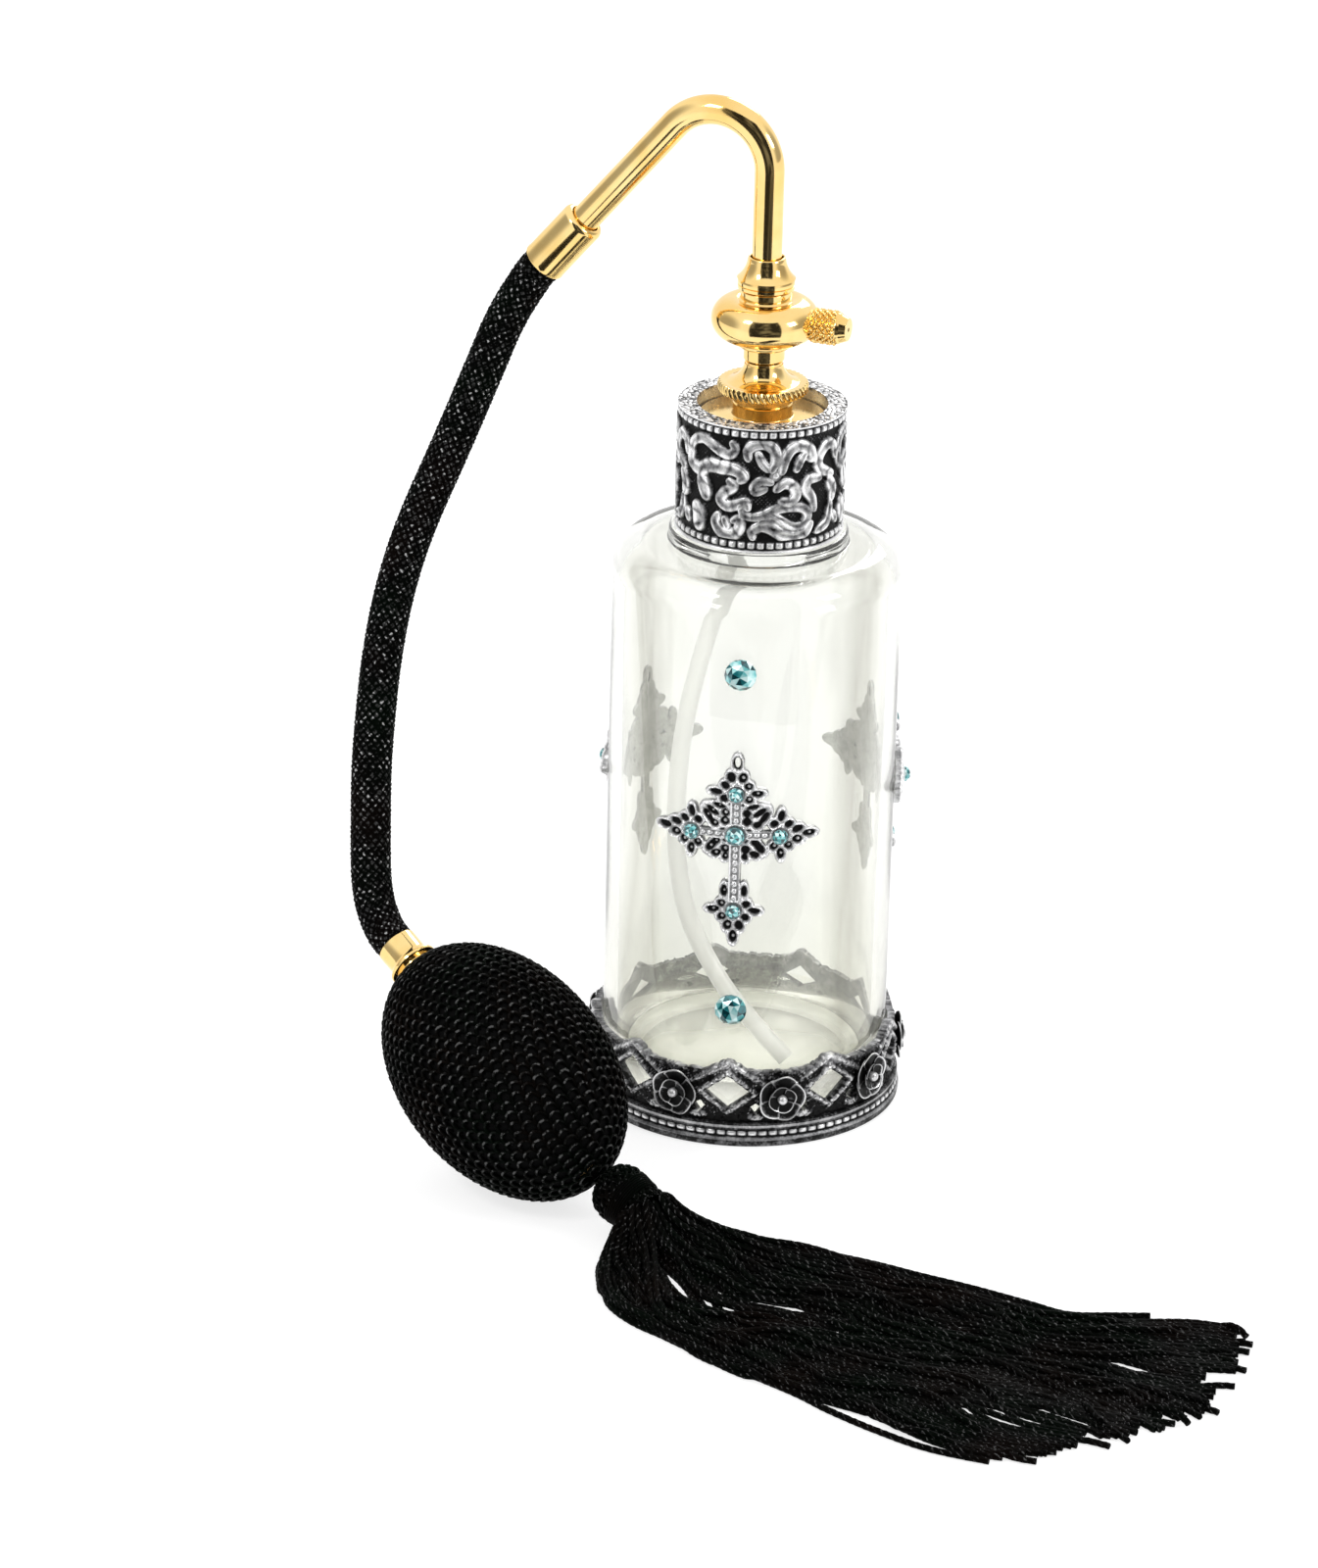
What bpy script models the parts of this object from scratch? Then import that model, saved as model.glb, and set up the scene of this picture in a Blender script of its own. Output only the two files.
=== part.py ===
"""Glass perfume bottle with a gilt bulb atomizer, a braided hose and a tassel.

The frame has its origin at the centre of the bottle's underside, +Z up, and the
front cross of the bottle faces -Y. All lengths are metres.
"""
import math

import bmesh
import bpy
from mathutils import Matrix, Vector

MM = 0.001

# --- driving dimensions -------------------------------------------------------------
GAP = 0.3 * MM                 # clearance between neighbouring pieces

GLASS_RADIUS = 24.0 * MM
GLASS_WALL = 2.3 * MM
GLASS_FLOOR = 9.0 * MM         # height of the inner floor over the table
SHOULDER_HEIGHT = 99.0 * MM
NECK_RADIUS = 11.6 * MM
NECK_BORE = 7.6 * MM
NECK_TOP = 117.5 * MM
NECK_RING_RADIUS = 14.9 * MM   # the glass ring that the collar stands on
NECK_RING_TOP = 101.0 * MM

GALLERY_RADIUS = 26.2 * MM
GALLERY_HEIGHT = 14.2 * MM
ROSES = 9
ROSE_RADIUS = 4.1 * MM
ROSE_HEIGHT = 8.8 * MM         # height of a rose's centre
ROSE_DEPTH = 2.6 * MM
WINDOW_HEIGHT = 9.8 * MM       # height of a lozenge window's centre
WINDOW_HALF_WIDTH = 3.3 * MM
WINDOW_SQUEEZE = 0.72          # its height as a share of its width

COLLAR_RADIUS = 14.0 * MM
COLLAR_FOOT = 101.2 * MM
COLLAR_TOP = 122.6 * MM
COLLAR_OPENING = 10.8 * MM

CROSSES = 3
CROSS_CENTRE = 56.0 * MM
CROSS_SEAT = GLASS_RADIUS + 0.4 * MM
CROSS_THICKNESS = 1.3 * MM
# Each small stone's place on its cross, sideways and up from the centre, and its radius.
CROSS_STONES = {
    "centre": (0.0, 0.0, 1.55), "top": (0.0, 7.3, 1.3), "right": (7.1, 0.0, 1.3),
    "left": (-7.1, 0.0, 1.3), "bottom": (0.0, -13.5, 1.25),
}
CROSS_STONE_HEIGHT = 1.0
BIG_STONE_RADIUS = 2.45
BIG_STONE_HEIGHT = 1.6
BIG_STONE_PLACES = {"lower": 24.2 * MM, "upper": 83.9 * MM}

PLATE_RADIUS = 10.5 * MM
PLATE_TOP = 120.5 * MM
BOSS_RADIUS = 4.9 * MM
BOSS_TOP = 124.3 * MM
STEM_RADIUS = 2.2 * MM
STEM_FLANGE_RADIUS = 3.95 * MM
STEM_FLANGE_FOOT = 121.0 * MM
STEM_BOTTOM = 106.0 * MM
STEM_TOP = 139.3 * MM
NUT_BOTTOM = 124.6 * MM
NUT_TOP = 129.8 * MM
NUT_RADIUS = 7.35 * MM
HEAD_BOTTOM = 130.1 * MM
HEAD_EQUATOR = 137.0 * MM
HEAD_TOP = 142.0 * MM
NOZZLE_RADIUS = 2.6 * MM
NOZZLE_ROOT = 8.0 * MM         # from the bottle's axis
NOZZLE_TIP = 14.4 * MM
ORIFICE_RADIUS = 0.35 * MM
NOZZLE_ANGLE = math.radians(-14.0)      # seen from above, from +X towards +Y

GOOSENECK_ANGLE = math.radians(166.0)   # opposite to the nozzle
GOOSENECK_RADIUS = 2.45 * MM
GOOSENECK_BEND_START = 161.9 * MM
GOOSENECK_BEND_RADIUS = 9.3 * MM
GOOSENECK_BEND = math.radians(140.0)
GOOSENECK_LEG = 23.7 * MM      # straight leg from the bend to the ferrule's shoulder
FERRULE_LENGTH = 11.0 * MM
FERRULE_RADIUS = 3.7 * MM

HOSE_RADIUS = 3.45 * MM
HOSE_TUBE_RADIUS = 2.55 * MM
# The hose's centre line, from the gooseneck ferrule to the bulb ferrule.
HOSE_ROUTE = [
    (-40.5, 9.6, 137.2), (-42.6, 9.3, 133.6), (-44.6, 8.6, 129.4), (-46.3, 7.7, 124.9),
    (-48.1, 6.7, 120.2), (-49.9, 5.6, 115.5), (-51.7, 4.5, 110.9), (-53.5, 3.3, 106.4),
    (-55.3, 2.0, 102.0), (-57.0, 0.6, 97.5), (-58.5, -1.0, 92.9), (-59.7, -2.8, 88.2),
    (-60.6, -4.7, 83.5), (-61.2, -6.7, 78.9), (-61.6, -8.8, 74.3), (-61.8, -10.9, 69.7),
    (-61.9, -13.0, 65.1), (-61.9, -15.1, 60.5), (-61.7, -17.1, 55.9), (-61.4, -19.1, 51.3),
    (-61.1, -20.9, 46.8), (-60.7, -22.5, 42.8), (-59.9, -24.1, 39.4), (-58.7, -25.6, 36.8),
]

DIP_TUBE_RADIUS = 1.5 * MM
DIP_TUBE_WALL = 0.5 * MM
# The dip tube bows to the left in the bottle and ends at the front of its floor.
DIP_TUBE_ROUTE = [
    (0.0, 0.0, 112.5), (0.0, 0.0, 106.0), (-1.6, 0.0, 100.5), (-5.4, -0.4, 90.5),
    (-9.0, -1.8, 77.0), (-11.4, -3.6, 63.0), (-11.6, -5.8, 48.0), (-9.2, -8.0, 34.5),
    (-3.2, -10.2, 23.5), (3.6, -12.2, 16.0), (8.4, -13.6, 11.4),
]

BULB_CENTRE = Vector((-35.0, -45.1, 19.65)) * MM
BULB_YAW = math.radians(-39.0)
BULB_TILT = math.radians(28.0)          # its tassel end points down
BULB_HALF_LENGTH = 24.9 * MM
BULB_RADIUS = 17.44 * MM
NET_WALL = 0.8 * MM
RUBBER_WALL = 1.8 * MM
BULB_FERRULE_RADIUS = 3.5 * MM
BULB_FERRULE_LENGTH = 5.0 * MM
# Where each valve cage starts and its ball's centre lies, along the bulb's axis.
VALVES = {"outlet": (16.2, 18.15), "inlet": (-22.2, -20.25)}
VALVE_RADIUS = 2.55
VALVE_LENGTH = 6.4
VALVE_BALL_RADIUS = 1.2 * MM

TASSEL_HEAD_START = Vector((-16.2, -58.6, 7.4)) * MM
TASSEL_HEAD_END = Vector((-9.6, -63.2, 4.9)) * MM
# The skirt's sections: along its axis, near edge, far edge and height over the table.
SKIRT_DIRECTION = Vector((0.853, -0.522, 0.0))
SKIRT_SECTIONS = [
    (1.2, -3.6, 3.4, 8.2), (6.5, -13.5, 4.6, 8.6), (14.0, -22.5, 6.4, 8.2),
    (24.0, -26.5, 9.2, 7.4), (38.0, -28.0, 14.5, 6.6), (54.0, -28.5, 18.0, 5.8),
    (70.0, -29.5, 22.5, 5.0), (84.0, -29.0, 27.5, 4.2), (97.0, -24.0, 30.0, 3.4),
]

TINY_STEPS = 16                # sides of the valves and other inner pieces
SMALL_STEPS = 24               # sides of the small turned pieces
LARGE_STEPS = 36               # sides of the glass, the collar and the gallery


# --- collections and materials ------------------------------------------------------
def clear_scene():
    for old in list(bpy.data.objects):
        bpy.data.objects.remove(old, do_unlink=True)


def new_collection(name):
    collection = bpy.data.collections.new(name)
    bpy.context.scene.collection.children.link(collection)
    return collection


clear_scene()
PARTS = new_collection("perfume_bottle")
CUTTERS = new_collection("cutters")


def principled(name, colour, roughness, metallic=0.0, transmission=0.0):
    made = bpy.data.materials.new(name)
    made.use_nodes = True
    shader = made.node_tree.nodes["Principled BSDF"]
    shader.inputs["Base Color"].default_value = (*colour, 1.0)
    shader.inputs["Roughness"].default_value = roughness
    shader.inputs["Metallic"].default_value = metallic
    shader.inputs["Transmission Weight"].default_value = transmission
    made.diffuse_color = (*colour, 1.0)
    return made


GLASS = principled("clear_glass", (0.93, 0.96, 0.93), 0.02, transmission=1.0)
GOLD = principled("polished_gilt_brass", (0.95, 0.70, 0.26), 0.12, metallic=1.0)
SILVER = principled("antiqued_silver", (0.52, 0.52, 0.54), 0.35, metallic=1.0)
CRYSTAL = principled("aqua_crystal", (0.10, 0.58, 0.62), 0.05, transmission=0.6)
RUBBER = principled("black_rubber", (0.03, 0.03, 0.03), 0.6)
SEAL = principled("white_seal", (0.85, 0.85, 0.82), 0.5)
PLASTIC = principled("clear_plastic_tube", (0.88, 0.90, 0.88), 0.2, transmission=0.7)
BRASS = principled("plain_brass", (0.72, 0.55, 0.25), 0.3, metallic=1.0)
STEEL = principled("steel_ball", (0.60, 0.60, 0.62), 0.2, metallic=1.0)
CORD = principled("black_cord", (0.012, 0.012, 0.013), 0.75)


# --- modelling helpers --------------------------------------------------------------
def add_object(name, mesh, collection=PARTS, material=None):
    made = bpy.data.objects.new(name, mesh)
    collection.objects.link(made)
    if material is not None and not mesh.materials:
        mesh.materials.append(material)
    return made


def add_empty(name, location, direction=(0.0, 0.0, 1.0)):
    made = add_object(name, None)
    made.empty_display_size = 5 * MM
    aim(made, location, direction)
    return made


def aim(thing, location, direction):
    """Put a thing at a place with its local +Z along a direction."""
    thing.location = location
    thing.rotation_mode = "QUATERNION"
    thing.rotation_quaternion = Vector(direction).to_track_quat("Z", "Y")


def hold(parent, *children):
    """Parent pieces that already stand in place, so that they stay there."""
    bpy.context.view_layer.update()
    for child in children:
        child.parent = parent
        child.matrix_parent_inverse = parent.matrix_world.inverted()


def shade(mesh, angle=35.0):
    mesh.shade_smooth()
    mesh.set_sharp_from_angle(angle=math.radians(angle))


def rounded(corners, steps):
    """The points of an outline whose corners (r, z, fillet) are rounded by arcs."""
    outline = []
    for index, (r, z, fillet) in enumerate(corners):
        corner = Vector((r, z))
        if fillet == 0:
            outline.append(corner)
            continue
        before = Vector(corners[index - 1][:2]) - corner
        after = Vector(corners[(index + 1) % len(corners)][:2]) - corner
        half = before.angle(after) / 2
        centre = corner + (before.normalized() + after.normalized()).normalized() * (
            fillet / math.sin(half))
        start = corner + before.normalized() * (fillet / math.tan(half)) - centre
        end = corner + after.normalized() * (fillet / math.tan(half)) - centre
        turn = start.angle_signed(end)
        for step in range(steps + 1):
            angle = -turn * step / steps
            outline.append(centre + Matrix.Rotation(angle, 2) @ start)
    return outline


def arc(centre_r, centre_z, radius, first, last, steps):
    """Corners on an arc, with its angles in degrees from +r towards +z."""
    points = []
    for step in range(steps + 1):
        angle = math.radians(first + (last - first) * step / steps)
        points.append((centre_r + radius * math.cos(angle),
                       centre_z + radius * math.sin(angle), 0))
    return points


def turned(name, corners, material, steps=SMALL_STEPS, base=0.0, closed=True, fillet_steps=2):
    """A turned piece from corners (r, z, fillet) in millimetres, down its outer side."""
    outline = rounded(corners, fillet_steps)
    shape = bmesh.new()
    points = [shape.verts.new((r * MM, 0.0, z * MM - base)) for r, z in outline]
    for first, second in zip(points, points[1:]):
        shape.edges.new((first, second))
    if closed:
        shape.edges.new((points[-1], points[0]))
    mesh = bpy.data.meshes.new(name)
    shape.to_mesh(mesh)
    shape.free()
    made = add_object(name, mesh, material=material)
    made.location.z = base
    screw = made.modifiers.new("turn", "SCREW")
    screw.steps = steps
    screw.render_steps = steps
    screw.use_merge_vertices = True
    screw.merge_threshold = 0.00001
    screw.use_smooth_shade = True
    return made


def smooth_route(points, per_span):
    """Points on a smooth curve through the given ones, in metres."""
    places = [Vector(point) * MM for point in points]
    ends = [places[0] * 2 - places[1]] + places + [places[-1] * 2 - places[-2]]
    route = []
    for a, b, c, d in zip(ends, ends[1:], ends[2:], ends[3:]):
        for step in range(per_span):
            t = step / per_span
            route.append(0.5 * (2 * b + (c - a) * t + (2 * a - 5 * b + 4 * c - d) * t * t
                                + (3 * b - a - 3 * c + d) * t * t * t))
    route.append(places[-1])
    return route


def tube(name, route, radius, material, wall=0.0, resolution=2):
    """A round bar along a route, or a pipe where a wall is given."""
    curve = bpy.data.curves.new(name, "CURVE")
    curve.dimensions = "3D"
    curve.bevel_depth = radius
    curve.bevel_resolution = resolution
    curve.use_fill_caps = wall == 0
    spline = curve.splines.new("POLY")
    spline.points.add(len(route) - 1)
    for point, place in zip(spline.points, route):
        point.co = (*place, 1.0)
    if wall == 0:
        curve.materials.append(material)
        return add_object(name, curve)
    guide = add_object(name + "_guide", curve)
    bpy.context.view_layer.update()
    seen = guide.evaluated_get(bpy.context.evaluated_depsgraph_get())
    mesh = bpy.data.meshes.new_from_object(seen)
    bpy.data.objects.remove(guide, do_unlink=True)
    mesh.name = name
    shade(mesh)
    made = add_object(name, mesh, material=material)
    skin = made.modifiers.new("wall", "SOLIDIFY")
    skin.thickness = wall
    skin.offset = -1.0
    skin.use_rim = True
    return made


def as_cutter(tool):
    """Keep a shape out of the parts: it only cuts them or joins them."""
    PARTS.objects.unlink(tool)
    CUTTERS.objects.link(tool)
    tool.hide_render = True
    tool.display_type = "WIRE"
    return tool


def combine(piece, tool, operation):
    cut = piece.modifiers.new(tool.name, "BOOLEAN")
    cut.operation = operation
    cut.solver = "EXACT"
    cut.object = tool


def outward(angle):
    """The horizontal direction at an angle round the bottle, 0 being its front."""
    return Vector((math.sin(angle), -math.cos(angle), 0.0))


# --- the glass and its metal trim ---------------------------------------------------
def glass_bottle():
    outer = GLASS_RADIUS / MM
    inner = outer - GLASS_WALL / MM
    floor = GLASS_FLOOR / MM
    shoulder = SHOULDER_HEIGHT / MM
    neck = NECK_RADIUS / MM
    bore = NECK_BORE / MM
    top = NECK_TOP / MM
    ring = NECK_RING_RADIUS / MM
    ring_top = NECK_RING_TOP / MM
    corners = [
        (0.0, floor, 0), (inner, floor, 4.0), (inner, shoulder - 3.0, 3.6),
        (bore, shoulder - 2.2, 1.6), (bore, top, 0), (neck, top, 0),
        (neck, ring_top, 0), (ring, ring_top, 0.5), (ring, shoulder, 0),
        (outer, shoulder - 0.6, 4.6), (outer, 0.0, 1.6), (0.0, 0.0, 0),
    ]
    return turned("glass_bottle", corners, GLASS, LARGE_STEPS, closed=False)


def gallery_tools():
    """The rose bosses and the lozenge windows, spaced evenly round the gallery."""
    bosses = bmesh.new()
    windows = bmesh.new()
    for index in range(ROSES):
        window = outward(2 * math.pi * index / ROSES)
        boss = outward(2 * math.pi * (index + 0.5) / ROSES)
        place = Matrix.Translation(boss * (GALLERY_RADIUS + 0.1 * MM))
        place.translation.z = ROSE_HEIGHT
        turn = boss.to_track_quat("Z", "Y").to_matrix().to_4x4()
        bmesh.ops.create_cone(bosses, cap_ends=True, segments=12, radius1=ROSE_RADIUS,
                              radius2=ROSE_RADIUS * 0.7, depth=ROSE_DEPTH,
                              matrix=place @ turn)
        place = Matrix.Translation(window * GALLERY_RADIUS)
        place.translation.z = WINDOW_HEIGHT
        turn = window.to_track_quat("Z", "Y").to_matrix().to_4x4()
        squeeze = Matrix.Diagonal((1.0, WINDOW_SQUEEZE, 1.0, 1.0))
        bmesh.ops.create_cone(windows, cap_ends=True, segments=4, radius1=WINDOW_HALF_WIDTH,
                              radius2=WINDOW_HALF_WIDTH, depth=12 * MM,
                              matrix=place @ turn @ squeeze)
    made = []
    for name, shape in (("gallery_roses", bosses), ("gallery_windows", windows)):
        mesh = bpy.data.meshes.new(name)
        shape.to_mesh(mesh)
        shape.free()
        made.append(as_cutter(add_object(name, mesh)))
    return made


def base_gallery():
    outer = GALLERY_RADIUS / MM
    inner = GLASS_RADIUS / MM + 0.35
    height = GALLERY_HEIGHT / MM
    corners = [
        (outer - 0.4, height, 0.4), (outer - 0.4, 4.6, 0), (outer + 0.2, 4.2, 0),
        (outer + 0.2, 0.0, 0.4), (inner, 0.0, 0), (inner, height, 0),
    ]
    gallery = turned("base_gallery", corners, SILVER, LARGE_STEPS)
    roses, windows = gallery_tools()
    combine(gallery, roses, "UNION")
    combine(gallery, windows, "DIFFERENCE")
    return gallery


def neck_collar():
    outer = COLLAR_RADIUS / MM
    foot = COLLAR_FOOT / MM
    top = COLLAR_TOP / MM
    opening = COLLAR_OPENING / MM
    sleeve = NECK_RADIUS / MM + 0.4
    corners = [
        (outer, top, 0.5), (outer, top - 2.2, 0), (outer - 0.6, top - 2.6, 0),
        (outer - 0.6, foot + 2.6, 0), (outer, foot + 2.2, 0), (outer, foot, 0.4),
        (sleeve, foot, 0), (sleeve, 119.0, 0), (opening, 119.0, 0), (opening, top, 0),
    ]
    return turned("neck_collar", corners, SILVER, LARGE_STEPS)


def cross_outline():
    """The right half of a floral cross, from its top tip to its bottom tip."""
    return [
        (0.0, 14.7), (1.7, 12.4), (3.2, 10.6), (4.9, 8.2), (3.6, 6.6), (1.9, 5.0),
        (4.6, 5.6), (5.4, 4.6), (4.6, 1.9), (6.6, 3.4), (8.2, 4.9), (10.4, 3.3),
        (13.2, 0.0), (10.4, -3.3), (8.2, -4.9), (6.6, -3.4), (4.6, -1.9), (5.4, -4.6),
        (4.6, -5.4), (1.6, -4.6), (1.1, -7.0), (1.1, -9.6), (4.3, -12.2), (4.4, -14.0),
        (2.2, -17.2), (0.0, -20.6),
    ]


def cross_mesh():
    """The cross as a flat plate, bent round the glass, with its centre at the origin."""
    half = cross_outline()
    outline = half + [(-x, z) for x, z in reversed(half[1:-1])]
    curve = bpy.data.curves.new("cross", "CURVE")
    curve.dimensions = "2D"
    curve.fill_mode = "BOTH"
    curve.extrude = CROSS_THICKNESS / 2
    spline = curve.splines.new("POLY")
    spline.points.add(len(outline) - 1)
    for point, (x, z) in zip(spline.points, outline):
        point.co = (x * MM, z * MM, 0.0, 1.0)
    spline.use_cyclic_u = True
    guide = add_object("cross_guide", curve)
    bpy.context.view_layer.update()
    seen = guide.evaluated_get(bpy.context.evaluated_depsgraph_get())
    mesh = bpy.data.meshes.new_from_object(seen)
    bpy.data.objects.remove(guide, do_unlink=True)
    shape = bmesh.new()
    shape.from_mesh(mesh)
    bmesh.ops.remove_doubles(shape, verts=shape.verts, dist=0.00001)
    for line in range(-4, 5):
        bmesh.ops.bisect_plane(shape, geom=shape.verts[:] + shape.edges[:] + shape.faces[:],
                               plane_co=(line * 2.8 * MM, 0, 0), plane_no=(1, 0, 0))
    bmesh.ops.triangulate(shape, faces=shape.faces)
    for vertex in shape.verts:
        angle = vertex.co.x / CROSS_SEAT
        radius = CROSS_SEAT + CROSS_THICKNESS / 2 + vertex.co.z
        vertex.co = outward(angle) * radius + Vector((0.0, 0.0, vertex.co.y))
    bmesh.ops.recalc_face_normals(shape, faces=shape.faces)
    shape.to_mesh(mesh)
    shape.free()
    mesh.name = "cross"
    return mesh


def stone(name, radius, height, angle, z, seat):
    """A faceted crystal that stands out from the bottle, at an angle round it."""
    corners = [(0.0, height, 0), (radius * 0.6, height, 0), (radius, height * 0.35, 0),
               (radius, 0.0, 0), (0.0, 0.0, 0)]
    made = turned(name, corners, CRYSTAL, 12, closed=False)
    out = outward(angle)
    aim(made, out * seat + Vector((0.0, 0.0, z)), out)
    return made


def crosses():
    """Three crosses round the bottle, each with five stones; the front one has big ones too."""
    mesh = cross_mesh()
    mesh.materials.clear()
    mesh.materials.append(SILVER)
    seat = CROSS_SEAT + CROSS_THICKNESS + 0.15 * MM
    for index, side in enumerate(("front", "right", "left")):
        angle = 2 * math.pi * index / CROSSES
        cross = add_object("cross_" + side, mesh)
        cross.location.z = CROSS_CENTRE
        cross.rotation_euler.z = angle
        for place, (x, z, radius) in CROSS_STONES.items():
            stone("stone_%s_%s" % (side, place), radius, CROSS_STONE_HEIGHT,
                  angle + x * MM / CROSS_SEAT, CROSS_CENTRE + z * MM, seat)
    for place, height in BIG_STONE_PLACES.items():
        stone("big_stone_" + place, BIG_STONE_RADIUS, BIG_STONE_HEIGHT, 0.0, height,
              GLASS_RADIUS + 0.2 * MM)


# --- the closure on the neck and the stem through it --------------------------------
def closure():
    boss = BOSS_RADIUS / MM
    top = BOSS_TOP / MM
    groove = top - 1.5
    plate = PLATE_RADIUS / MM
    plate_top = PLATE_TOP / MM
    plate_foot = plate_top - 1.2
    spigot = NECK_BORE / MM - 0.4
    spigot_bore = spigot - 1.4
    socket = STEM_FLANGE_RADIUS / MM + GAP / MM
    corners = [
        (boss, top, 0.2), (boss, groove + 0.15, 0), (boss - 0.15, groove, 0),
        (boss, groove - 0.15, 0), (boss, plate_top, 0), (plate, plate_top, 0.2),
        (plate, plate_foot, 0), (spigot, plate_foot, 0), (spigot, 109.5, 0),
        (spigot_bore, 109.5, 0), (spigot_bore, 117.6, 0), (3.4, 117.6, 0),
        (3.4, 119.7, 0), (socket, 119.7, 0), (socket, top, 0),
    ]
    turned("closure_plate", corners, GOLD)
    rim = NECK_RADIUS / MM - 0.2
    washer = [(rim, 118.9, 0), (rim, 117.8, 0), (7.5, 117.8, 0), (7.5, 118.9, 0)]
    turned("neck_gasket", washer, SEAL)


def stem():
    upper = STEM_RADIUS / MM
    lower = upper + 0.2
    flange = STEM_FLANGE_RADIUS / MM
    foot = STEM_FLANGE_FOOT / MM
    top = STEM_TOP / MM
    bottom = STEM_BOTTOM / MM
    corners = [
        (upper, top, 0), (upper, foot + 0.8, 0), (flange, foot + 0.8, 0),
        (flange, foot, 0), (lower, foot, 0), (lower, bottom, 0),
        (1.8, bottom, 0), (1.8, 113.0, 0), (0.9, 113.0, 0), (0.9, top, 0),
    ]
    tube_stem = turned("feed_stem", corners, BRASS, TINY_STEPS)
    washer = [(flange, foot - 0.3, 0), (flange, foot - 1.0, 0), (2.7, foot - 1.0, 0),
              (2.7, foot - 0.3, 0)]
    gasket = turned("stem_gasket", washer, SEAL, TINY_STEPS)
    route = smooth_route(DIP_TUBE_ROUTE, 2)
    dip = tube("dip_tube", route, DIP_TUBE_RADIUS, PLASTIC, DIP_TUBE_WALL, 1)
    return [tube_stem, gasket, dip]


def bell_nut():
    bottom = NUT_BOTTOM / MM
    top = NUT_TOP / MM
    rim = NUT_RADIUS / MM
    spigot = STEM_FLANGE_RADIUS / MM
    bore = STEM_RADIUS / MM + GAP / MM
    corners = [(3.1, top, 0), (3.1, top - 0.6, 0)] + arc(6.9, 129.9, 3.75, 188, 262, 5)
    corners += [(rim, bottom + 1.6, 0.3), (rim, bottom, 0.3), (spigot, bottom, 0),
                (spigot, 122.1, 0), (bore, 122.1, 0), (bore, top, 0)]
    return turned("bell_nut", corners, GOLD, base=NUT_BOTTOM)


# --- the spray head, nozzle and gooseneck -------------------------------------------
def spray_head():
    equator = HEAD_EQUATOR / MM
    top = HEAD_TOP / MM
    bottom = HEAD_BOTTOM / MM
    bore = STEM_RADIUS / MM + GAP / MM
    pipe_bore = GOOSENECK_RADIUS / MM + GAP / MM
    corners = [(4.2, top, 0), (4.2, equator + 3.5, 0)]
    corners += arc(5.4, equator, 3.5, 106, -104, 12)
    corners += [(4.4, 133.3, 0), (4.4, 132.3, 0.3), (3.4, 132.3, 0), (3.4, bottom, 0),
                (bore, bottom, 0), (bore, 139.6, 0), (pipe_bore, 139.6, 0),
                (pipe_bore, top, 0)]
    head = turned("spray_head", corners, GOLD, base=HEAD_EQUATOR)
    wide = NOZZLE_RADIUS / MM + GAP / MM
    step = NOZZLE_ROOT / MM - GAP / MM
    stepped = [(0.0, 16.0, 0), (wide, 16.0, 0), (wide, step, 0), (1.6, step, 0),
               (1.6, 1.0, 0), (0.0, 1.0, 0)]
    bores = as_cutter(turned("nozzle_bores", stepped, GOLD, TINY_STEPS, closed=False))
    aim(bores, (0.0, 0.0, HEAD_EQUATOR), nozzle_direction())
    combine(head, bores, "DIFFERENCE")
    return head


def nozzle_direction():
    return Vector((math.cos(NOZZLE_ANGLE), math.sin(NOZZLE_ANGLE), 0.0))


def nozzle():
    radius = NOZZLE_RADIUS / MM
    root = NOZZLE_ROOT / MM
    end = NOZZLE_TIP / MM
    orifice = ORIFICE_RADIUS / MM
    bevel = 1.2
    corners = [
        (1.9, end, 0), (radius, end - bevel, 0), (radius, root, 0), (1.3, root, 0),
        (1.3, 4.0, 0), (orifice, 4.0, 0), (orifice, end, 0),
    ]
    tip = turned("nozzle", corners, GOLD, TINY_STEPS)
    aim(tip, (0.0, 0.0, HEAD_EQUATOR), nozzle_direction())
    return tip


def gooseneck_plane(reach, height):
    """A place in the gooseneck's plane, by its reach from the bottle's axis."""
    return Vector((math.cos(GOOSENECK_ANGLE) * reach, math.sin(GOOSENECK_ANGLE) * reach,
                   height))


def leg_direction():
    fall = GOOSENECK_BEND - math.pi / 2
    return gooseneck_plane(math.cos(fall), -math.sin(fall))


def bend_end():
    reach = GOOSENECK_BEND_RADIUS * (1 - math.cos(GOOSENECK_BEND))
    height = GOOSENECK_BEND_START + GOOSENECK_BEND_RADIUS * math.sin(GOOSENECK_BEND)
    return gooseneck_plane(reach, height)


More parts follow.
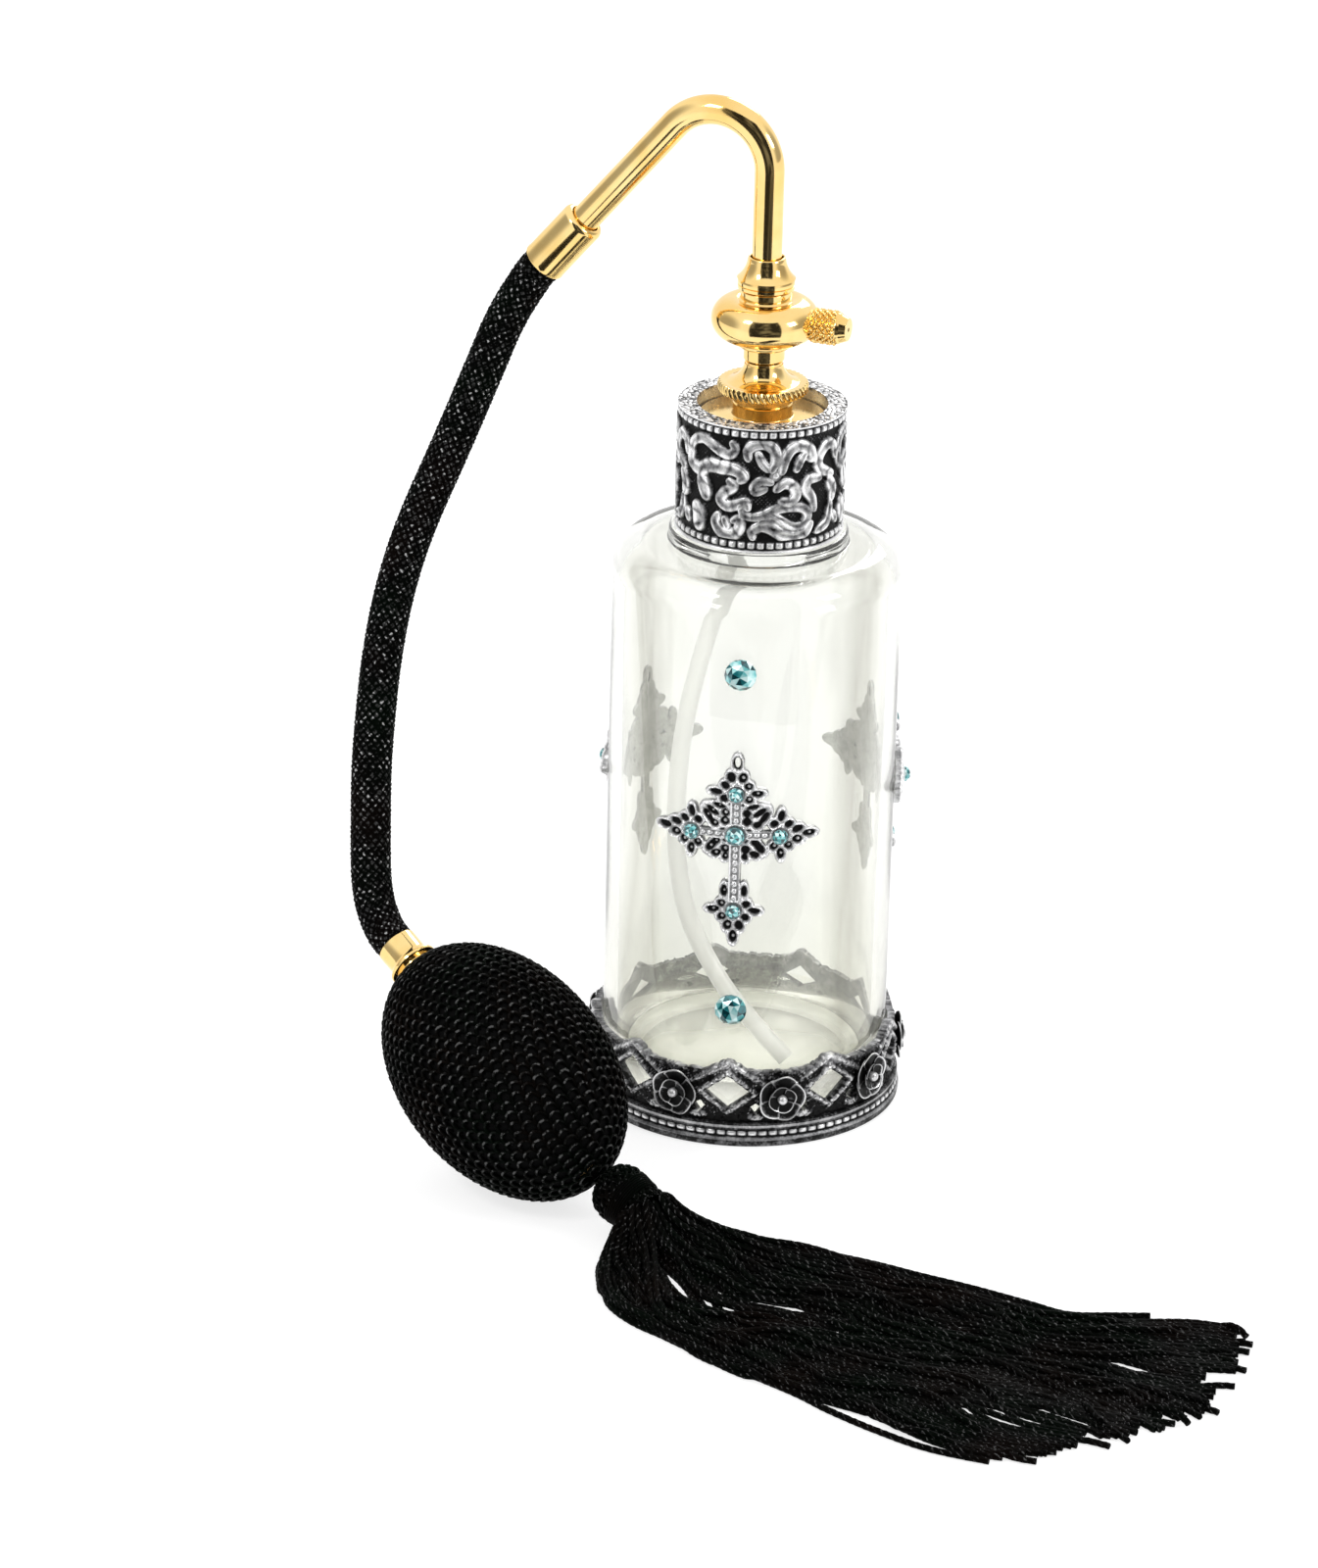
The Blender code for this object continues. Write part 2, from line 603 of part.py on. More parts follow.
def gooseneck():
    foot = HEAD_TOP / MM + GAP / MM
    top = foot + 5.3
    bore = GOOSENECK_RADIUS / MM + GAP / MM
    corners = [(3.15, top, 0)] + arc(8.3, 147.9, 5.2, 190, 225, 4)
    corners += [(4.7, foot + 1.6, 0), (4.7, foot, 0), (bore, foot, 0), (bore, top, 0)]
    socket = turned("gooseneck_socket", corners, GOLD, base=HEAD_TOP)
    bend_steps = 12
    route = [gooseneck_plane(0.0, 139.9 * MM)]
    for step in range(bend_steps + 1):
        angle = GOOSENECK_BEND * step / bend_steps
        reach = GOOSENECK_BEND_RADIUS * (1 - math.cos(angle))
        route.append(gooseneck_plane(
            reach, GOOSENECK_BEND_START + GOOSENECK_BEND_RADIUS * math.sin(angle)))
    route.append(bend_end() + leg_direction() * (GOOSENECK_LEG + 4.0 * MM))
    pipe = tube("gooseneck_tube", route, GOOSENECK_RADIUS, GOLD, 0.6 * MM, 3)
    length = FERRULE_LENGTH / MM
    outer = FERRULE_RADIUS / MM
    socket_depth = 5.6
    pipe_stop = length - 4.3
    corners = [
        (outer, length, 0.8), (outer, 0.0, 0), (2.9, 0.0, 0), (2.9, socket_depth, 0),
        (1.8, socket_depth, 0), (1.8, pipe_stop, 0), (bore, pipe_stop, 0), (bore, length, 0),
    ]
    ferrule = turned("hose_ferrule", corners, GOLD)
    aim(ferrule, bend_end() + leg_direction() * (GOOSENECK_LEG + FERRULE_LENGTH),
        -leg_direction())
    return [socket, pipe, ferrule]


# --- hose, bulb and tassel ----------------------------------------------------------
def bulb_axis():
    """The bulb's long axis, from the tassel end to the hose end."""
    level = math.cos(BULB_TILT)
    return Vector((-math.cos(BULB_YAW) * level, -math.sin(BULB_YAW) * level,
                   math.sin(BULB_TILT)))


def hose():
    route = smooth_route(HOSE_ROUTE, 1)
    first = bend_end() + leg_direction() * (GOOSENECK_LEG + FERRULE_LENGTH)
    last = BULB_CENTRE + bulb_axis() * (BULB_HALF_LENGTH + BULB_FERRULE_LENGTH)
    outer = [first + leg_direction() * GAP, first + leg_direction() * 2.5 * MM] + route
    outer += [last + bulb_axis() * 2.5 * MM, last + bulb_axis() * GAP]
    inner = [first - leg_direction() * 4.5 * MM] + outer + [last - bulb_axis() * 3.5 * MM]
    sleeve = tube("hose_sleeve", outer, HOSE_RADIUS, CORD, 0.6 * MM, 1)
    air_tube = tube("hose_air_tube", inner, HOSE_TUBE_RADIUS, RUBBER, 0.9 * MM, 1)
    return [sleeve, air_tube]


def ellipse_skin(half_length, radius, wall, hole, steps):
    """An egg-shaped skin's outline with a round hole at each end, in millimetres."""
    corners = []
    for long, wide, way in ((half_length, radius, 1), (half_length - wall, radius - wall, -1)):
        first = math.asin(hole / wide)
        for step in range(steps + 1):
            angle = first + (math.pi - 2 * first) * step / steps
            corners.append((wide * math.sin(angle), way * long * math.cos(angle), 0))
    return corners


def bulb():
    long = BULB_HALF_LENGTH / MM
    wide = BULB_RADIUS / MM
    net_wall = NET_WALL / MM
    rubber_gap = GAP / MM
    net = turned("bulb_net", ellipse_skin(long, wide, net_wall, 3.7, 12), CORD)
    inset = net_wall + rubber_gap
    skin = ellipse_skin(long - inset, wide - inset, RUBBER_WALL / MM, 2.95, 12)
    rubber = turned("bulb_rubber", skin, RUBBER)
    outer = BULB_FERRULE_RADIUS / MM
    end = long + BULB_FERRULE_LENGTH / MM
    corners = [
        (outer, end, 0.3), (outer, long + 0.7, 0), (4.3, long + 0.5, 0), (4.3, long, 0),
        (3.3, long, 0), (3.3, long - 1.2, 0), (1.6, long - 1.2, 0), (1.6, long + 1.0, 0),
        (2.9, long + 1.0, 0), (2.9, end, 0),
    ]
    ferrule = turned("bulb_ferrule", corners, GOLD)
    pieces = [net, rubber, ferrule]
    for name, (seat, _) in VALVES.items():
        end = seat + VALVE_LENGTH
        cage = [(VALVE_RADIUS, end, 0), (VALVE_RADIUS, seat, 0), (0.8, seat, 0),
                (0.8, seat + 0.9, 0), (1.6, seat + 1.7, 0), (1.6, seat + 3.7, 0),
                (0.8, seat + 4.1, 0), (0.8, end, 0)]
        pieces.append(turned(name + "_valve_cage", cage, BRASS, TINY_STEPS))
    for piece in pieces:
        aim(piece, BULB_CENTRE, bulb_axis())
    for name, (_, height) in VALVES.items():
        ball = bmesh.new()
        bmesh.ops.create_uvsphere(ball, u_segments=12, v_segments=8, radius=VALVE_BALL_RADIUS)
        mesh = bpy.data.meshes.new(name + "_valve_ball")
        ball.to_mesh(mesh)
        ball.free()
        shade(mesh, 60)
        made = add_object(name + "_valve_ball", mesh, material=STEEL)
        aim(made, BULB_CENTRE + bulb_axis() * height * MM, bulb_axis())
        pieces.append(made)
    return pieces


def tassel_head():
    axis = TASSEL_HEAD_START - TASSEL_HEAD_END
    long = axis.length / MM
    corners = [
        (0.0, long, 0), (4.7, long, 3.2), (4.7, 2.2, 1.4), (3.5, 1.2, 0), (3.5, 0.0, 0),
        (0.0, 0.0, 0),
    ]
    head = turned("tassel_head", corners, CORD, TINY_STEPS, closed=False)
    aim(head, TASSEL_HEAD_END, axis)
    return head


def tassel_skirt():
    """A flattened loft over the strands, through sections across the skirt."""
    across = Vector((0.0, 0.0, 1.0)).cross(SKIRT_DIRECTION)
    start = Vector((TASSEL_HEAD_END.x, TASSEL_HEAD_END.y, 0.0))
    sides = 12
    shape = bmesh.new()
    rings = []
    for along, near, far, height in SKIRT_SECTIONS:
        centre = start + SKIRT_DIRECTION * along * MM + across * (near + far) / 2 * MM
        ring = []
        for side in range(sides):
            angle = 2 * math.pi * side / sides
            out = math.copysign(abs(math.cos(angle)) ** 0.7, math.cos(angle))
            up = math.copysign(abs(math.sin(angle)) ** 0.8, math.sin(angle))
            place = centre + across * out * (far - near) / 2 * MM
            place.z = 0.3 * MM + (up + 1) / 2 * (height - 0.3) * MM
            ring.append(shape.verts.new(place))
        rings.append(ring)
    for first, second in zip(rings, rings[1:]):
        for side in range(sides):
            after = (side + 1) % sides
            shape.faces.new((first[side], first[after], second[after], second[side]))
    shape.faces.new(rings[0])
    shape.faces.new(rings[-1])
    bmesh.ops.recalc_face_normals(shape, faces=shape.faces)
    mesh = bpy.data.meshes.new("tassel_skirt")
    shape.to_mesh(mesh)
    shape.free()
    shade(mesh, 60)
    return add_object("tassel_skirt", mesh, material=CORD)


def build():
    glass_bottle()
    base_gallery()
    neck_collar()
    crosses()
    closure()
    lift = add_empty("head_lift_axis", (0.0, 0.0, BOSS_TOP))
    hold(lift, *stem())
    hold(lift, bell_nut())
    swivel = add_empty("head_swivel_axis", (0.0, 0.0, HEAD_BOTTOM))
    hold(lift, swivel)
    hold(swivel, spray_head(), *gooseneck(), *hose(), *bulb(), tassel_head(), tassel_skirt())
    turn = add_empty("nozzle_axis", (0.0, 0.0, HEAD_EQUATOR), nozzle_direction())
    hold(swivel, turn)
    hold(turn, nozzle())


build()
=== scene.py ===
"""Looks for a glass perfume bottle with a gilt bulb atomizer, a braided hose and a tassel.

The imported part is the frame. Lengths here are millimetres, and a mesh is made in metres.
"""
import math

import bmesh
import bpy
import numpy as np
from mathutils import Matrix, Vector


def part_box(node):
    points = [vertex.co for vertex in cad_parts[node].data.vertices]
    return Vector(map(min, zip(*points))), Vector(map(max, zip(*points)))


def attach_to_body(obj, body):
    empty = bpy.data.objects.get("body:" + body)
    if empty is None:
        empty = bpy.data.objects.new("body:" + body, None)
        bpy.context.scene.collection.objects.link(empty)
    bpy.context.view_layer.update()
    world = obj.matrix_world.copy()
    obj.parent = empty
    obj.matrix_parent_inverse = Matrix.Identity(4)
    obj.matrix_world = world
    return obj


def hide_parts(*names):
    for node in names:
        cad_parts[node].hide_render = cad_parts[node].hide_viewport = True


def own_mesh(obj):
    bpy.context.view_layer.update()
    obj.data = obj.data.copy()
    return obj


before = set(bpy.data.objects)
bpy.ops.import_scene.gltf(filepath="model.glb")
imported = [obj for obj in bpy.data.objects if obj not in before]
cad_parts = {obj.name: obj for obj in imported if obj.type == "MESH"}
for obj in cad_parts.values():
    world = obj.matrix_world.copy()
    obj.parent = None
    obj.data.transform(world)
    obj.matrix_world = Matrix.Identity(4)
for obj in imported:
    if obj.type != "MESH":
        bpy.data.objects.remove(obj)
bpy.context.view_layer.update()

MM = 0.001
RANDOM = np.random.default_rng(12)
TURN = 2 * math.pi


# --- places, read from the frame ----------------------------------------------------
def node_points(node):
    """The corners of a CAD piece, in millimetres."""
    return np.array([vertex.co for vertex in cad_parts[node].data.vertices]) / MM


def low(node):
    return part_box(node)[0].z / MM


def high(node):
    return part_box(node)[1].z / MM


def reach(node):
    """The largest radius of a piece that is turned round the bottle's axis."""
    points = node_points(node)
    return float(np.hypot(points[:, 0], points[:, 1]).max())


GLASS_RADIUS = reach("glass_bottle")
GLASS_TOP = high("glass_bottle")
COLLAR_RADIUS = reach("neck_collar")
COLLAR_FOOT = low("neck_collar")
COLLAR_TOP = high("neck_collar")
COLLAR_OPENING = 10.8
GALLERY_RADIUS = 25.8
ROSES = 9
ROSE_HEIGHT = 8.8
CROSS_CENTRE = 56.0
CROSS_SEAT = GLASS_RADIUS + 0.15
HEAD_EQUATOR = 137.0
NOZZLE_ANGLE = math.radians(-14.0)
GOOSENECK_ANGLE = math.radians(166.0)
BEND_START = 161.9
BEND_RADIUS = 9.3
BEND_ANGLE = math.radians(140.0)
LEG_LENGTH = 23.7
GOOSENECK_RADIUS = 2.45
FERRULE_LENGTH = 11.0

HOSE_RADIUS = 3.45
HOSE_ROUTE = [
    (-40.5, 9.6, 137.2), (-42.6, 9.3, 133.6), (-44.6, 8.6, 129.4), (-46.3, 7.7, 124.9),
    (-48.1, 6.7, 120.2), (-49.9, 5.6, 115.5), (-51.7, 4.5, 110.9), (-53.5, 3.3, 106.4),
    (-55.3, 2.0, 102.0), (-57.0, 0.6, 97.5), (-58.5, -1.0, 92.9), (-59.7, -2.8, 88.2),
    (-60.6, -4.7, 83.5), (-61.2, -6.7, 78.9), (-61.6, -8.8, 74.3), (-61.8, -10.9, 69.7),
    (-61.9, -13.0, 65.1), (-61.9, -15.1, 60.5), (-61.7, -17.1, 55.9), (-61.4, -19.1, 51.3),
    (-61.1, -20.9, 46.8), (-60.7, -22.5, 42.8), (-59.9, -24.1, 39.4), (-58.7, -25.6, 36.8),
]
DIP_TUBE_ROUTE = [
    (0.0, 0.0, 112.5), (0.0, 0.0, 106.0), (-1.6, 0.0, 100.5), (-5.4, -0.4, 90.5),
    (-9.0, -1.8, 77.0), (-11.4, -3.6, 63.0), (-11.6, -5.8, 48.0), (-9.2, -8.0, 34.5),
    (-3.2, -10.2, 23.5), (3.6, -12.2, 16.0), (8.4, -13.6, 11.4),
]

BULB_CENTRE = np.array([-35.0, -45.1, 19.65])
BULB_YAW = math.radians(-39.0)
BULB_TILT = math.radians(28.0)
BULB_HALF_LENGTH = 24.9
BULB_RADIUS = 17.44
BULB_AXIS = np.array([-math.cos(BULB_YAW) * math.cos(BULB_TILT),
                      -math.sin(BULB_YAW) * math.cos(BULB_TILT), math.sin(BULB_TILT)])

TASSEL_HEAD_START = np.array([-16.2, -58.6, 7.4])
TASSEL_HEAD_END = np.array([-9.6, -63.2, 4.9])
SKIRT_DIRECTION = np.array([0.853, -0.522, 0.0])
SKIRT_ACROSS = np.array([0.522, 0.853, 0.0])


# --- curves and surfaces ------------------------------------------------------------
def unit(vectors):
    return vectors / np.linalg.norm(vectors, axis=-1, keepdims=True)


def distances(line):
    """How far along a line each of its points is."""
    return np.concatenate([[0.0], np.cumsum(np.linalg.norm(np.diff(line, axis=0), axis=1))])


def respaced(line, count):
    along = distances(line)
    places = np.linspace(0.0, along[-1], count)
    return np.stack([np.interp(places, along, line[:, k]) for k in range(line.shape[1])], 1)


def smooth_line(points, step):
    """Evenly spaced points on a smooth curve through the given ones."""
    places = np.array(points, float)
    ends = np.vstack([2 * places[0] - places[1], places, 2 * places[-1] - places[-2]])
    t = np.linspace(0.0, 1.0, 16, endpoint=False)[:, None]
    spans = [0.5 * (2 * b + (c - a) * t + (2 * a - 5 * b + 4 * c - d) * t ** 2
                    + (3 * b - a - 3 * c + d) * t ** 3)
             for a, b, c, d in zip(ends, ends[1:], ends[2:], ends[3:])]
    line = np.vstack(spans + [places[-1:]])
    return respaced(line, int(distances(line)[-1] / step) + 2)


def frames_along(line):
    """Two directions across a line at each point, carried along it without a twist."""
    tangents = unit(np.gradient(line, axis=0))
    normal = np.cross(tangents[0], (0.31, 0.17, 0.93))
    normals = []
    for tangent in tangents:
        normal = unit(normal - tangent * (normal @ tangent))
        normals.append(normal)
    return np.array(normals), np.cross(tangents, np.array(normals))


def rounded(corners, steps):
    """The points of an outline whose corners (r, z, fillet) are rounded by arcs."""
    outline = []
    for index, (r, z, fillet) in enumerate(corners):
        corner = Vector((r, z))
        if fillet == 0:
            outline.append(tuple(corner))
            continue
        before = Vector(corners[index - 1][:2]) - corner
        after = Vector(corners[(index + 1) % len(corners)][:2]) - corner
        half = before.angle(after) / 2
        middle = (before.normalized() + after.normalized()).normalized()
        centre = corner + middle * (fillet / math.sin(half))
        start = corner + before.normalized() * (fillet / math.tan(half)) - centre
        end = corner + after.normalized() * (fillet / math.tan(half)) - centre
        turn = start.angle_signed(end)
        for step in range(steps + 1):
            place = centre + Matrix.Rotation(-turn * step / steps, 2) @ start
            outline.append(tuple(place))
    return np.array(outline)


def arc(centre_r, centre_z, radius, first, last, steps):
    """Corners on an arc, with its angles in degrees from +r towards +z."""
    angles = np.radians(np.linspace(first, last, steps + 1))
    return [(centre_r + radius * math.cos(a), centre_z + radius * math.sin(a), 0)
            for a in angles]


def grid_faces(rows, columns, wrap_rows=False, wrap_columns=True):
    """Four-sided faces between the points of a grid, row by row."""
    index = np.arange(rows * columns).reshape(rows, columns)
    if wrap_rows:
        index = np.vstack([index, index[:1]])
    if wrap_columns:
        index = np.hstack([index, index[:, :1]])
    return np.stack([index[:-1, :-1], index[:-1, 1:], index[1:, 1:], index[1:, :-1]],
                    axis=-1).reshape(-1, 4)


class Shape:
    """Points, faces and a relief value for each point, gathered from several parts."""

    def __init__(self):
        self.points = []
        self.faces = []
        self.relief = []
        self.count = 0

    def add(self, points, faces, relief=0.0):
        points = np.asarray(points, float).reshape(-1, 3)
        for face in faces:
            self.faces.append([int(corner) + self.count for corner in face])
        self.points.append(points)
        self.relief.append(np.broadcast_to(relief, len(points)))
        self.count += len(points)
        return self


def linked(name, data):
    """An object for a mesh, a light or a camera, put into the scene."""
    made = bpy.data.objects.new(name, data)
    bpy.context.scene.collection.objects.link(made)
    return made


def piece(name, shape, paint, body, replaces=(), sharp=40.0, weld=False):
    """A mesh piece that rides on a body and stands for the CAD pieces it replaces."""
    mesh = bpy.data.meshes.new(name)
    mesh.from_pydata((np.vstack(shape.points) * MM).tolist(), [], shape.faces)
    relief = mesh.attributes.new("relief", "FLOAT", "POINT")
    relief.data.foreach_set("value", np.concatenate(shape.relief).astype(np.float32))
    work = bmesh.new()
    work.from_mesh(mesh)
    if weld:
        bmesh.ops.remove_doubles(work, verts=work.verts, dist=0.002 * MM)
    bmesh.ops.recalc_face_normals(work, faces=work.faces)
    work.to_mesh(mesh)
    work.free()
    mesh.shade_smooth()
    mesh.set_sharp_from_angle(angle=math.radians(sharp))
    mesh.materials.append(paint)
    return attach(linked(name, mesh), body, replaces)


def attach(made, body, replaces=()):
    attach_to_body(made, body)
    if replaces:
        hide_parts(*replaces)
    return made


def placed(points, origin, axis):
    """Points about the local Z axis, moved to an origin and turned along an axis."""
    turn = np.array(Vector(axis).to_track_quat("Z", "Y").to_matrix())
    return np.asarray(points) @ turn.T + np.asarray(origin)


def around(angle, radius, height):
    """Places round the bottle's axis, with the angle from the front towards the right."""
    return np.stack([radius * np.sin(angle), -radius * np.cos(angle), height], -1)


def lathe(shape, corners, sides, closed=True, fillet_steps=6, relief=None,
          origin=(0, 0, 0), axis=(0, 0, 1), split=0.0):
    """Adds a turned form; relief(r, z, angle) gives a change of radius and a relief value."""
    outline = rounded(corners, fillet_steps)
    if split:
        outline = divided(outline, split, closed)
    angles = np.linspace(0.0, TURN, sides, endpoint=False)
    radius = np.repeat(outline[:, :1], sides, axis=1)
    height = np.repeat(outline[:, 1:], sides, axis=1)
    value = np.full(radius.shape, 0.7)
    if relief:
        change, value = relief(radius, height, angles[None, :])
        radius = radius + change
    points = np.stack([radius * np.cos(angles), radius * np.sin(angles), height], -1)
    faces = grid_faces(len(outline), sides, wrap_rows=closed)
    return shape.add(placed(points.reshape(-1, 3), origin, axis), faces,
                     np.asarray(value).ravel())


def divided(outline, step, closed):
    """An outline whose long straight runs are cut into steps."""
    ends = np.vstack([outline, outline[:1]]) if closed else outline
    made = []
    for first, second in zip(ends, ends[1:]):
        count = max(1, int(np.linalg.norm(second - first) / step))
        made.append(first + (second - first) * np.linspace(0, 1, count, endpoint=False)[:, None])
    if not closed:
        made.append(outline[-1:])
    return np.vstack(made)


def sweep(shape, line, radius, sides, across=None, lobes=0, pitch=1.0, depth=0.0, flat=1.0,
          tone=0.5):
    """Adds a closed bar along a line; with lobes, its section is that of a twisted cord."""
    first, second = across or frames_along(line)
    angles = np.linspace(0.0, TURN, sides, endpoint=False)
    size = np.broadcast_to(np.asarray(radius, float), len(line))[:, None] * np.ones(sides)
    # The relief value: highest on the bar's second side, or on a cord's lobes; thread paint puts
    # painted glints where it is high.
    value = np.broadcast_to(tone, len(line))[:, None] * (0.5 + 0.5 * np.sin(angles))
    if lobes:
        twist = distances(line)[:, None] / pitch * TURN / lobes
        wave = np.abs(np.cos(lobes / 2 * (angles[None, :] - twist)))
        size = size * (1 - depth + depth * wave)
        value = wave
    ring = (line[:, None] + first[:, None] * (np.cos(angles) * size)[..., None]
            + second[:, None] * (np.sin(angles) * size * flat)[..., None])
    faces = grid_faces(len(line), sides).tolist()
    faces.append(list(range(sides)))
    faces.append([len(line) * sides - 1 - corner for corner in range(sides)])
    return shape.add(ring, faces, value.ravel())


# --- materials ----------------------------------------------------------------------
def add_node(tree, kind, inputs=None, **settings):
    """A shader node; an input given as another node's socket is linked."""
    node = tree.nodes.new(kind)
    for name, value in settings.items():
        setattr(node, name, value)
    for name, value in (inputs or {}).items():
        if isinstance(value, bpy.types.NodeSocket):
            tree.links.new(value, node.inputs[name])
        else:
            node.inputs[name].default_value = value
    return node


def new_paint(name, values):
    """A Principled material with constant values on its sockets, and its node tree."""
    made = bpy.data.materials.new(name)
    made.use_nodes = True
    shader = made.node_tree.nodes["Principled BSDF"]
    for socket, value in values.items():
        shader.inputs[socket].default_value = value
    return made, made.node_tree, shader


def ramp(tree, factor, stops):
    """A colour ramp through (place, (r, g, b)) stops, or grey where one number is given."""
    node = add_node(tree, "ShaderNodeValToRGB", {"Fac": factor})
    elements = node.color_ramp.elements
    while len(elements) < len(stops):
        elements.new(0.5)
    for element, (place, colour) in zip(elements, stops):
        element.position = place
        rgb = colour if isinstance(colour, tuple) else (colour,) * 3
        element.color = (*rgb, 1.0)
    return node.outputs["Color"]


def object_place(tree):
    return add_node(tree, "ShaderNodeTexCoord").outputs["Object"]


def noise(tree, scale, detail=2.0, roughness=0.5, stretch=None):
    """Noise over the object, with its scale in waves per metre."""
    place = object_place(tree)
    if stretch:
        place = add_node(tree, "ShaderNodeMapping", {"Vector": place, "Scale": stretch})
        place = place.outputs["Vector"]
    node = add_node(tree, "ShaderNodeTexNoise", {"Vector": place, "Scale": scale,
                                                 "Detail": detail, "Roughness": roughness})
    return node.outputs["Fac"]


def calculate(tree, operation, first, second):
    node = add_node(tree, "ShaderNodeMath", {0: first, 1: second}, operation=operation)
    return node.outputs[0]


def swing(tree, value, size):
    """A noise value moved to run about zero, and scaled."""
    return calculate(tree, "MULTIPLY", calculate(tree, "SUBTRACT", value, 0.5), size)


def mixed_colour(tree, first, second, way):
    node = add_node(tree, "ShaderNodeMix", {6: first, 7: second, "Factor": 1.0},
                    data_type="RGBA", blend_type=way)
    return node.outputs[2]


def add_bump(tree, shader, height, strength, distance):
    """A bump on the shader's normal, with the distance in millimetres."""
    node = add_node(tree, "ShaderNodeBump", {"Height": height, "Strength": strength,
                                             "Distance": distance * MM})
    tree.links.new(node.outputs["Normal"], shader.inputs["Normal"])


def finish_paint(tree, shader, colour, gloss, bump):
    """Links a paint's colour and roughness; bump is its height, strength and distance."""
    tree.links.new(colour, shader.inputs["Base Color"])
    tree.links.new(gloss, shader.inputs["Roughness"])
    add_bump(tree, shader, *bump)


def relief_value(tree):
    node = add_node(tree, "ShaderNodeAttribute", attribute_name="relief")
    return node.outputs["Fac"]


def glass_paint():
    """Pressed soda glass: upright grey streaks painted where the wall is seen aslant (painted
    shade and reflection), an olive floor and a stippled underside.
    """
    made, tree, shader = new_paint("bottle_glass", {"IOR": 1.5, "Transmission Weight": 0.965})
    aslant = add_node(tree, "ShaderNodeLayerWeight", {"Blend": 0.5}).outputs["Facing"]
    streak_wander = noise(tree, 75.0, 3.0, 0.55, (1.0, 1.0, 0.14))
    # Painted shade and reflection: over the glass's slight real tint, the wall turns grey in a
    # band where it is seen aslant, and noise stretches the band into upright streaks.
    wall = ramp(tree, calculate(tree, "ADD", aslant, swing(tree, streak_wander, 0.65)), [
        (0.10, (0.90, 0.905, 0.88)), (0.28, (0.905, 0.91, 0.87)), (0.43, (0.60, 0.595, 0.55)),
        (0.56, (0.86, 0.86, 0.82)), (0.75, (0.95, 0.955, 0.93))])
    floor = ramp(tree, relief_value(tree), [(0.25, (1.0, 1.0, 1.0)), (0.5, (0.88, 0.88, 0.81)),
                                            (0.9, (0.99, 0.985, 0.95))])
    gloss = ramp(tree, relief_value(tree), [(0.7, 0.0), (0.9, 0.6)])
    ripples = noise(tree, 60.0, 1.0, 0.5, (1.0, 1.0, 0.3))
    finish_paint(tree, shader, mixed_colour(tree, wall, floor, "MULTIPLY"), gloss,
                 (ripples, 0.16, 1.5))
    return made


def gold_paint(name, dull, warm, pale):
    """Polished gilt brass: fine polishing haze and slight warm and pale patches."""
    made, tree, shader = new_paint(name, {"Metallic": 1.0})
    patches = noise(tree, 160.0, 3.0)
    colour = ramp(tree, patches, [(0.3, warm), (0.7, pale)])
    haze = noise(tree, 900.0, 4.0, 0.7)
    gloss = ramp(tree, haze, [(0.3, 0.07 + dull), (0.75, 0.14 + dull)])
    brushing = noise(tree, 2600.0, 2.0, 0.6, (1.0, 1.0, 0.25))
    finish_paint(tree, shader, colour, gloss, (brushing, 0.02, 0.05))
    return made


def silver_paint(name, dark, bright, metallic):
    """Antiqued silver: black in the hollows, worn bright where the relief stands up."""
    made, tree, shader = new_paint(name, {"Metallic": metallic, "Specular IOR Level": 0.4})
    grain = noise(tree, 2300.0, 4.0, 0.65)
    patches = noise(tree, 420.0, 3.0, 0.6)
    worn = calculate(tree, "ADD", relief_value(tree), swing(tree, grain, 0.5))
    worn = calculate(tree, "ADD", worn, swing(tree, patches, 0.6))
    middle = (dark * 3 + bright) / 4
    colour = ramp(tree, worn, [(0.16, dark), (0.40, (middle, middle, middle * 1.03)),
                               (0.62, bright * 0.62), (0.86, (bright, bright, bright * 1.01))])
    gloss = ramp(tree, worn, [(0.1, 0.55), (0.5, 0.36), (0.9, 0.24)])
    finish_paint(tree, shader, colour, gloss, (grain, 0.35, 0.12))
    return made


def crystal_paint():
    """Foil-backed aqua crystal: each facet gets a painted reflection, a random shade from dark
    teal to pale aqua.
    """
    made, tree, shader = new_paint("aqua_crystal", {
        "Metallic": 0.3, "Roughness": 0.03, "IOR": 1.65,
        "Coat Weight": 1.0, "Coat Roughness": 0.02})
    painted_light_flecks = swing(tree, noise(tree, 1100.0, 1.0), 0.35)
    # Painted reflections: the facet's random value and fine flecks choose how light or dark the
    # facet is painted.
    depth = calculate(tree, "ADD", relief_value(tree), painted_light_flecks)
    colour = ramp(tree, depth, [(0.12, (0.002, 0.036, 0.045)), (0.37, (0.012, 0.17, 0.19)),
                                (0.64, (0.12, 0.50, 0.51)), (0.90, (0.68, 0.91, 0.90))])
    tree.links.new(colour, shader.inputs["Base Color"])
    return made


